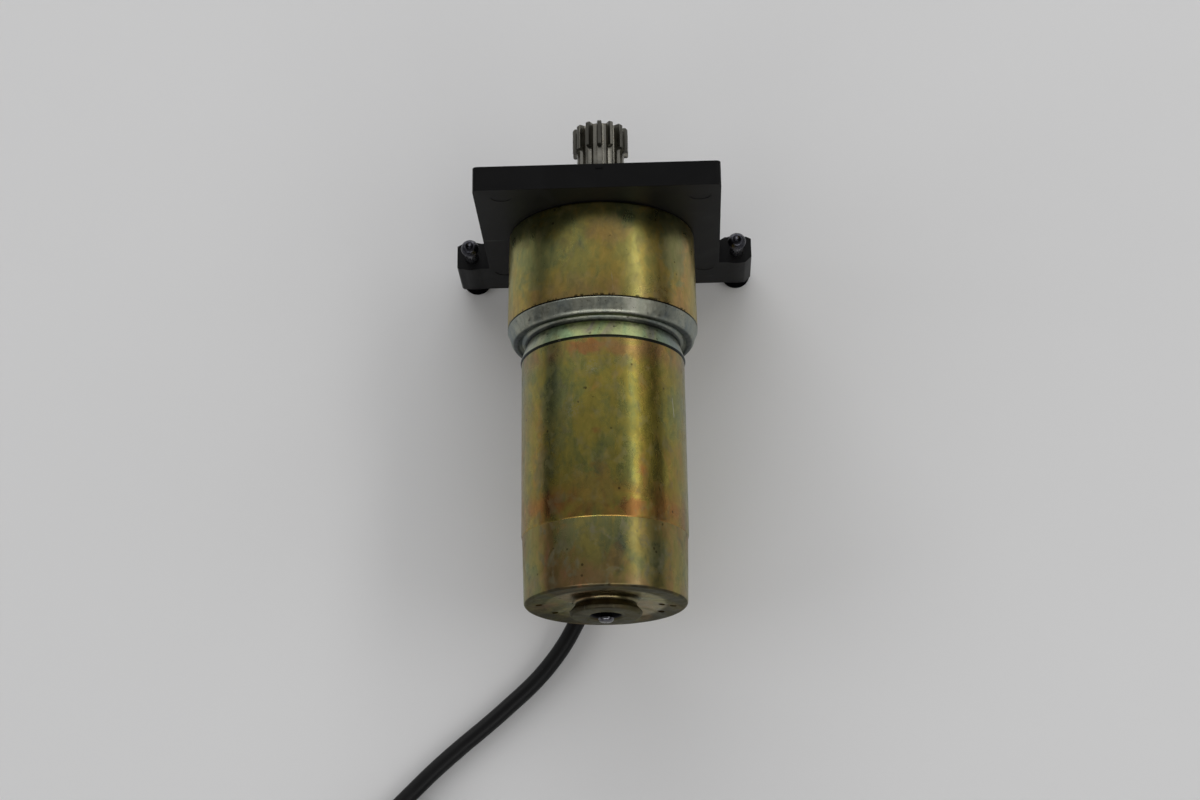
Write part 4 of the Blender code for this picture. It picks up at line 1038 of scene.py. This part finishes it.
plate = new_object("plate_moulding", prism([rounded_rect(-HALF_W, HALF_W, P_BOT, P_TOP, 1.3)], 0.0, P_T),
                   PLATE)
lugs = []
for sx in (-1, 1):
    # plan of a lug: flat faces that swell a little about the screw, corners cut
    front = 7.9

    def swell(side, y):
        arc, rad, high = [], 8.65, 0.40
        for k in range(11):
            dx = 2.6 * (k / 5.0 - 1.0)
            arc.append((LUG_X + dx, y + side * (math.sqrt(rad ** 2 - dx * dx) - (rad - high))))
        return arc

    back_cut = (1.7, 1.7) if sx > 0 else (0.5, 0.5)
    front_cut = (1.4, 0.7) if sx > 0 else (1.4, 0.8)
    pts = [(30.0, 0.0), (35.8, 0.0)] + swell(-1, 0.0) + [
        (LUG_W - back_cut[0], 0.0), (LUG_W, back_cut[1]), (LUG_W, front - front_cut[1]),
        (LUG_W - front_cut[0], front)] + swell(1, front)[::-1]
    pts += [(35.2, front), (33.7, P_T), (30.0, P_T)]
    clean = []
    for p in pts:
        if not clean or math.dist(p, clean[-1]) > 0.02:
            clean.append(p)
    lugs.append(plan_prism([(sx * x, y) for x, y in (clean if sx > 0 else clean[::-1])], P_BOT, LUG_TOP))
boolean(plate, lugs, "UNION")
cuts = [prism([circle(R_SPIGOT + 0.3, 128)], -1.0, P_T + 1.0)]
for k in range(4):
    x, z = polar(FIX_R, 45 + 90 * k)
    cuts.append(prism([circle(HOLE_R, 48, x, z)], -1.0, P_T + 1.0))
    cuts.append(prism([circle(3.9, 64, x, z)], P_T - 4.2, P_T + 1.0))
for sx in (-1, 1):
    # screw hole with a shallow seat at its top
    for r, z0, z1 in ((1.98, P_BOT - 2.0, LUG_TOP + 2.0), (2.75, LUG_TOP - 0.12, LUG_TOP + 2.0)):
        cuts.append(plan_prism([(sx * LUG_X + r * math.cos(2 * math.pi * j / 48),
                                 P_T / 2 + r * math.sin(2 * math.pi * j / 48)) for j in range(48)], z0, z1))
# ejector pin marks on the back face
for x, z in ((-25.9, 30.0), (27.7, 28.1), (29.0, -21.0), (-29.0, -21.0)):
    cuts.append(prism([circle(3.0, 48, x, z)], -1.0, 0.12))
boolean(plate, cuts)
soften(plate, 0.28, 3, 30.0)
piece(plate, "motor_body", ("mounting_plate",))
# the moulding gate's stub on the top edge
gate = new_object("plate_gate_stub", box(-0.2, 1.8, 5.6, 6.7, P_TOP - 0.3, P_TOP + 0.22), PLATE)
soften(gate, 0.1, 2)
piece(gate, "motor_body", ())


# =============================================================== screws
def cap_screw(name, length, tip="dog", thread=(0.0, 0.0), hh=4.0, deep=2.2):
    """Socket-head screw in local mm, axis +Y: head from 0 to hh, shank to -length."""
    hr, sr = 3.5, 1.88
    prof = rounded([(0.0, hh), (hr, hh, 0.35), (hr, 0.0, 0.12), (sr + 0.25, 0.0, 0.05), (sr, -0.3)],
                   0.0, 4)
    y = -0.6
    while y > -length + 1.3:
        prof.append((sr, y))
        y -= 0.175
    if tip == "dog":
        prof += rounded([(sr, -length + 1.25), (sr, -length + 0.75, 0.3), (sr - 0.62, -length, 0.2),
                         (0.45, -length), (0.22, -length + 0.10), (0.0, -length + 0.12)], 0.0, 4)[1:]
    else:
        prof += [(sr, -length + 0.6), (sr - 0.5, -length), (0.0, -length)]
    t0, t1 = thread
    pitch, depth = 0.7, 0.36

    def radial(a, r, yy):
        if yy > 0.4 and yy < hh - 0.45 and r > hr - 0.4:
            return r - 0.13 * (0.5 - 0.5 * math.cos(36.0 * a)) ** 0.8
        if t1 < yy < t0 and r > sr - 0.2:
            u = (yy / pitch + a / (2 * math.pi)) % 1.0
            return r - depth * (1.0 - abs(2.0 * u - 1.0))
        return r

    # rows for the knurl
    fine = []
    for p, q in zip(prof, prof[1:] + [prof[-1]]):
        fine.append(p)
        if abs(p[0] - hr) < 1e-4 and abs(q[0] - hr) < 1e-4 and abs(p[1] - q[1]) > 2.0:
            fine += [(hr, hh - 0.44), (hr, hh - 0.6), (hr, 0.55), (hr, 0.41)]
    ob = new_object(name, lathe(fine, 144, True, 0.0, 0.0, radial), BLACK_STEEL, 40.0)
    boolean(ob, [prism([circle(3.0 / math.sqrt(3.0), 6)], hh - deep, hh + 1.0)], sharp=40.0)
    return ob


for sx, side in ((-1, "left"), (1, "right")):
    ob = cap_screw("lug_screw_%s_turned" % side, 23.2, "dog", (-0.6, -14.6), 2.8, 1.5)
    ob.data.materials[0] = LUG_STEEL
    # stand it up: head below the lug, end above it
    ob.data.transform(Matrix.Translation(W(sx * LUG_X, P_T / 2, P_BOT - 0.3))
                      @ Matrix.Rotation(math.radians(-90), 4, "X") @ Matrix.Translation(-W(0, 0, 0)))
    # painted shade: the heads that stand on the table under the lugs are made flat near-black with no gloss
    ob.data.materials.append(HEAD_PAINTED_SHADE)
    for f in ob.data.polygons:
        if f.center.z < 0.0036:
            f.material_index = 1
    piece(ob, "motor_body", ("lug_screw_" + side,))
for k in range(4):
    x, z = polar(FIX_R, 45 + 90 * k)
    ob = cap_screw("plate_screw_%d_turned" % (k + 1), 6.8, "flat", (-2.9, -6.0))
    ob.data.transform(Matrix.Translation(W(x, P_T - 4.2 + 0.3, z)) @ Matrix.Rotation(0.35 * k, 4, "Y")
                      @ Matrix.Translation(-W(0, 0, 0)))
    piece(ob, "motor_body", ("plate_screw_%d" % (k + 1),))

# =============================================================== gearhead shell
housing = new_object("gear_housing_shell", lathe(rounded([
    (8.35, 5.0, 0.15), (R_SPIGOT, 5.0, 0.4), (R_SPIGOT, -0.3, 0.1), (25.5, -0.3, 0.55),
    (25.5, -27.70, 0.14), (23.8, -27.70, 0.2), (23.8, -4.6, 0.6), (8.35, -4.6, 0.2)],
    0.2, 5, True), 256), HOUSING)
boolean(housing, [prism([circle(HOLE_R, 32, *polar(FIX_R, 45 + 90 * k))], -6.0, 1.0) for k in range(4)])
piece(housing, "motor_body", ("gear_housing",))

round_edge = [(23.6 + 1.9 * math.cos(math.radians(6.0 * k)), -30.5 - 1.9 * math.sin(math.radians(6.0 * k)), 0)
              for k in range(16)]
flange = new_object("flange_ring", lathe(rounded([
    (2.9, -28.25, 0.1), (25.5, -28.25, 0.16)] + round_edge + [(22.3, -32.4, 0.1),
    (21.9, -32.8, 0.12), (21.9, -37.70, 0.13), (20.3, -37.70, 0.05), (20.3, -40.05, 0.3), (17.0, -40.05, 0.2),
    (17.0, -36.85, 0.3), (6.82, -36.85, 0.25), (6.82, -31.25, 0.2), (2.9, -31.25, 0.1)],
    0.2, 6, True), 256), ZINC)
piece(flange, "motor_body", ("motor_flange",))

can = new_object("motor_can_tube", lathe(rounded([
    (21.6, -38.10, 0.12), (21.6, -87.26, 0.06), (20.6, -87.26, 0.1), (20.6, -38.10, 0.1)],
    0.1, 4, True), 256), CAN)
# two small nicks in the can's edge on the left side
boolean(can, [prism([circle(0.45, 20, -21.75, 4.0)], -44.9, -43.6),
              prism([circle(0.55, 20, -21.85, 3.0)], -88.0, -86.5)])
piece(can, "motor_body", ("motor_can",))

cap = new_object("rear_cap_turned", lathe(rounded([
    (21.6, -87.54, 0.30), (21.6, -106.0, 0.70), (9.0, -106.0, 0.15), (9.0, -108.3, 0.25), (4.8, -108.3, 0.2),
    (4.8, -106.2, 0.05), (6.02, -106.2, 0.05), (6.02, -101.7, 0.1), (8.0, -101.7, 0.3), (8.0, -103.0, 0.3),
    (19.4, -103.0, 0.8), (19.4, -85.55, 0.2), (20.3, -85.55, 0.2), (20.3, -87.54, 0.05)],
    0.2, 5, True), 256), CAP)
cuts = [prism([circle(0.75, 28, 0.1, 12.6)], -107.0, -104.6)]
for x, z in ((14.8, -1.4), (17.8, -2.0), (14.6, -8.6), (-17.7, 1.4), (-14.0, -7.8)):
    cuts.append(prism([circle(0.9, 28, x, z)], -107.0, -104.8))
lead_hole = prism([circle(4.5, 48)], 12.0, 26.0)
transform(lead_hole, Matrix.Translation(W(0, 0, 0)) @ Matrix.Translation((0, BOOT_Y * MM, 0))
          @ Matrix.Rotation(math.radians(BOOT_TILT), 4, "Y")
          @ Matrix.Rotation(math.radians(-90), 4, "X") @ Matrix.Translation(-W(0, 0, 0)))
cuts.append(lead_hole)
boolean(cap, cuts)
# the bore takes its own dark finish
cap.data.materials.append(DARK_BORE_STEEL)
for f in cap.data.polygons:
    c = f.center
    if c.y < y_row(-101.3) and math.hypot(c.x, c.z - AXIS_H * MM) < 0.00615 and \
            (abs(f.normal.y) < 0.7 or c.y > y_row(-107.0)):
        f.material_index = 1
piece(cap, "motor_body", ("rear_cap",))

# =============================================================== shafts
shaft = new_object("motor_shaft_turned", lathe(rounded([
    (0.0, -20.3), (2.0, -20.3, 0.3), (2.0, -106.0, 0.05), (1.3, -106.3, 0.05), (1.3, -109.8, 0.2),
    (0.35, -109.8, 0.05), (0.0, -109.65)], 0.1, 4), 96), SHAFT_STEEL)
piece(shaft, "rotor", ("motor_shaft",))

bush = new_object("output_bush_turned", lathe(rounded([
    (5.06, 4.7, 0.2), (8.0, 4.7, 0.15), (8.0, -4.4, 0.1), (5.06, -4.4, 0.2)], 0.1, 4, True), 128), BRONZE)
piece(bush, "motor_body", ("output_bush",))

out_shaft = new_object("output_shaft_turned", lathe(rounded([
    (0.0, 33.1), (1.0, 33.1, 0.05), (1.25, 33.4, 0.05), (4.0, 33.4, 0.45), (4.0, 7.7, 0.05), (5.0, 7.7, 0.25),
    (5.0, 6.0, 0.05), (4.4, 6.0, 0.05), (4.4, 5.2, 0.05), (5.0, 5.2, 0.05), (5.0, -5.7, 0.4), (17.0, -5.7, 0.4),
    (17.0, -8.7, 0.4), (0.0, -8.7)], 0.1, 4), 160), STEEL)
boolean(out_shaft, [prism([circle(1.8, 32, *polar(13.5, a))], -10.0, -4.0) for a in (90.0, 210.0, 330.0)])
piece(out_shaft, "output", ("output_shaft",))


def pinion_loops():
    """One 14-tooth outline, full and turned down, with matching points."""
    z, root, tip, cut = 14, 5.75, 8.0, 6.75
    half = [(5.75, 0.90), (5.82, 0.76), (5.98, 0.70), (6.4, 0.67), (6.75, 0.65), (7.1, 0.62),
            (7.45, 0.58), (7.75, 0.53), (7.92, 0.48), (8.0, 0.38)]
    full, low = [], []
    pitch = 2 * math.pi / z
    for k in range(z):
        c = math.pi / 2 + pitch * k
        side = []
        for r, hw in half:
            side.append((r, -math.asin(hw / r)))
        mirrored = [(r, -a) for r, a in side[::-1]]
        row = [(root, -pitch / 2)] + side + [(tip, 0.0)] + mirrored
        for r, a in row:
            full.append((r * math.cos(c + a), r * math.sin(c + a)))
            rr = min(r, cut)
            low.append((rr * math.cos(c + a), rr * math.sin(c + a)))
    return full, low


full, low = pinion_loops()


def scaled(loop, f, lim):
    out = []
    for x, z in loop:
        r = math.hypot(x, z)
        k = min(r, lim) / r
        out.append((x * k * f, z * k * f))
    return out


rows = [(scaled(low, 1.0, 6.45), 8.0), (low, 8.3), (low, 26.05), (scaled(low, 1.0, 6.72), 26.2),
        (scaled(full, 1.0, 7.9), 26.2), (full, 26.32), (full, 33.15), (scaled(full, 1.0, 7.6), 33.6)]
bm = bmesh.new()
grid = [[bm.verts.new(W(x, y, z)) for x, z in loop] for loop, y in rows]
cnt = len(full)
for a, b in zip(grid, grid[1:]):
    for k in range(cnt):
        bm.faces.new((a[k], a[(k + 1) % cnt], b[(k + 1) % cnt], b[k]))
bore = [[bm.verts.new(W(x, y, z)) for x, z in circle(r, 72)]
        for r, y in ((4.5, 8.0), (4.3, 8.2), (4.3, 33.3), (4.55, 33.6))]
for a, b in zip(bore, bore[1:]):
    for k in range(72):
        bm.faces.new((a[(k + 1) % 72], a[k], b[k], b[(k + 1) % 72]))
for outer, inner in ((grid[0], bore[0]), (grid[-1], bore[-1])):
    edges = []
    for vs in (outer, inner):
        for k in range(len(vs)):
            edges.append(bm.edges.get((vs[k], vs[(k + 1) % len(vs)])))
    bmesh.ops.triangle_fill(bm, use_beauty=True, edges=edges)
bmesh.ops.remove_doubles(bm, verts=bm.verts, dist=1e-7)
bmesh.ops.dissolve_degenerate(bm, edges=bm.edges, dist=1e-8)
pinion = new_object("output_pinion_cut", bm, PINION_STEEL, 32.0)
piece(pinion, "output", ("output_pinion",))

# =============================================================== floor and light
bm = bmesh.new()
bmesh.ops.create_grid(bm, x_segments=24, y_segments=24, size=3.0)
floor = new_object("floor", bm)
floor.location = (0.0, 0.0, -0.0002)
fl = Mat("pale_table", rough=0.62, metal=0.0, Specular_IOR_Level=0.35)
fa = fl.noise(fl.map((6, 6, 6)), 1.0, 3.0, 0.5)
fb = fl.noise(fl.map((900, 900, 900)), 1.0, 2.0, 0.5)
fl.set("Base Color", fl.ramp(fl.range(fa, 0.3, 0.7), [(0.0, (0.800, 0.800, 0.803)), (1.0, (0.820, 0.820, 0.823))]))
fl.set("Normal", fl.bump(fb, 0.08, 0.00005))
floor.data.materials.append(fl.m)


def area(name, at, to, size_x, size_y, radiance, colour=(1.0, 1.0, 1.0)):
    """Rectangular softbox.  The power follows from its radiance and its size."""
    d = bpy.data.lights.new(name, "AREA")
    d.shape = "RECTANGLE"
    d.size, d.size_y = size_x, size_y
    d.energy = radiance * math.pi * size_x * size_y
    d.color = colour
    ob = bpy.data.objects.new(name, d)
    scene.collection.objects.link(ob)
    ob.location = at
    ob.rotation_euler = (Vector(to) - Vector(at)).to_track_quat("-Z", "Y").to_euler()
    ob.visible_camera = False
    return ob


# long strip overhead on the right, parallel to the motor
strip = area("strip_right", (1.10, 0.0, 1.14), (0.0, 0.0, 0.04), 0.30, 2.6, 1.75, (1.0, 0.99, 0.96))
strip.rotation_euler = (0.0, math.radians(44.0), 0.0)
# two soft panels behind the viewer, and a wide low one beyond the pinion
area("panel_back_left", (-0.75, -1.25, 0.95), (0.0, 0.0, 0.03), 0.9, 0.8, 1.0)
area("panel_back_right", (0.70, -1.35, 0.95), (0.0, 0.0, 0.03), 0.8, 0.8, 1.0)
area("panel_front", (-0.25, 2.0, 0.95), (-0.05, 0.1, 0.0), 2.6, 1.0, 2.3)

# thin ceiling line behind the viewer, seen only in the gloss of the rounded edges
line = area("line_back", (0.05, -1.6, 1.30), (0.0, 0.0, 0.03), 2.0, 0.70, 2.2)
line.visible_diffuse = False
# low fill from both sides that only lightens the table and the dark plastics
for name, at, size, radiance in (("fill_left", (-1.6, -0.2, 0.75), (1.0, 1.6), 1.3),
                                 ("fill_right", (1.6, -0.3, 0.75), (1.0, 1.6), 0.9)):
    fill = area(name, at, (0.0, 0.0, 0.03), size[0], size[1], radiance)
    fill.visible_glossy = False

world = bpy.data.worlds.new("studio")
scene.world = world
world.use_nodes = True
nt = world.node_tree
nt.nodes.clear()
wo = nt.nodes.new("ShaderNodeOutputWorld")
bg = nt.nodes.new("ShaderNodeBackground")
tc = nt.nodes.new("ShaderNodeTexCoord")
sep = nt.nodes.new("ShaderNodeSeparateXYZ")
cr = nt.nodes.new("ShaderNodeValToRGB")
cr.color_ramp.interpolation = "EASE"
stops = [(0.0, 0.10), (0.22, 0.07), (0.46, 0.34), (1.0, 0.36)]
el = cr.color_ramp.elements
while len(el) > 1:
    el.remove(el[-1])
for i, (p, c) in enumerate(stops):
    e = el[0] if i == 0 else el.new(p)
    e.position = p
    e.color = (c, c, c * 1.01, 1.0)
lp = nt.nodes.new("ShaderNodeLightPath")
mx = nt.nodes.new("ShaderNodeMix")
mx.data_type = "RGBA"
nt.links.new(tc.outputs["Generated"], sep.inputs[0])
nt.links.new(sep.outputs["Z"], cr.inputs[0])
nt.links.new(lp.outputs["Is Camera Ray"], mx.inputs[0])
mx.inputs[7].default_value = (0.56, 0.56, 0.565, 1.0)
# brighter overhead towards the pinion end
cy = nt.nodes.new("ShaderNodeValToRGB")
cy.color_ramp.interpolation = "EASE"
el = cy.color_ramp.elements
while len(el) > 1:
    el.remove(el[-1])
for i, (p, c) in enumerate([(0.0, 0.62), (0.22, 0.64), (0.33, 0.90), (0.42, 1.36), (0.60, 1.55)]):
    e = el[0] if i == 0 else el.new(p)
    e.position = p
    e.color = (c, c, c, 1.0)
nt.links.new(sep.outputs["Y"], cy.inputs[0])
mul = nt.nodes.new("ShaderNodeMix")
mul.data_type, mul.blend_type = "RGBA", "MULTIPLY"
mul.inputs[0].default_value = 1.0
nt.links.new(cr.outputs["Color"], mul.inputs[6])
nt.links.new(cy.outputs["Color"], mul.inputs[7])
nt.links.new(mul.outputs[2], mx.inputs[6])
nt.links.new(mx.outputs[2], bg.inputs["Color"])
nt.links.new(bg.outputs[0], wo.inputs["Surface"])
bg.inputs["Strength"].default_value = 1.0
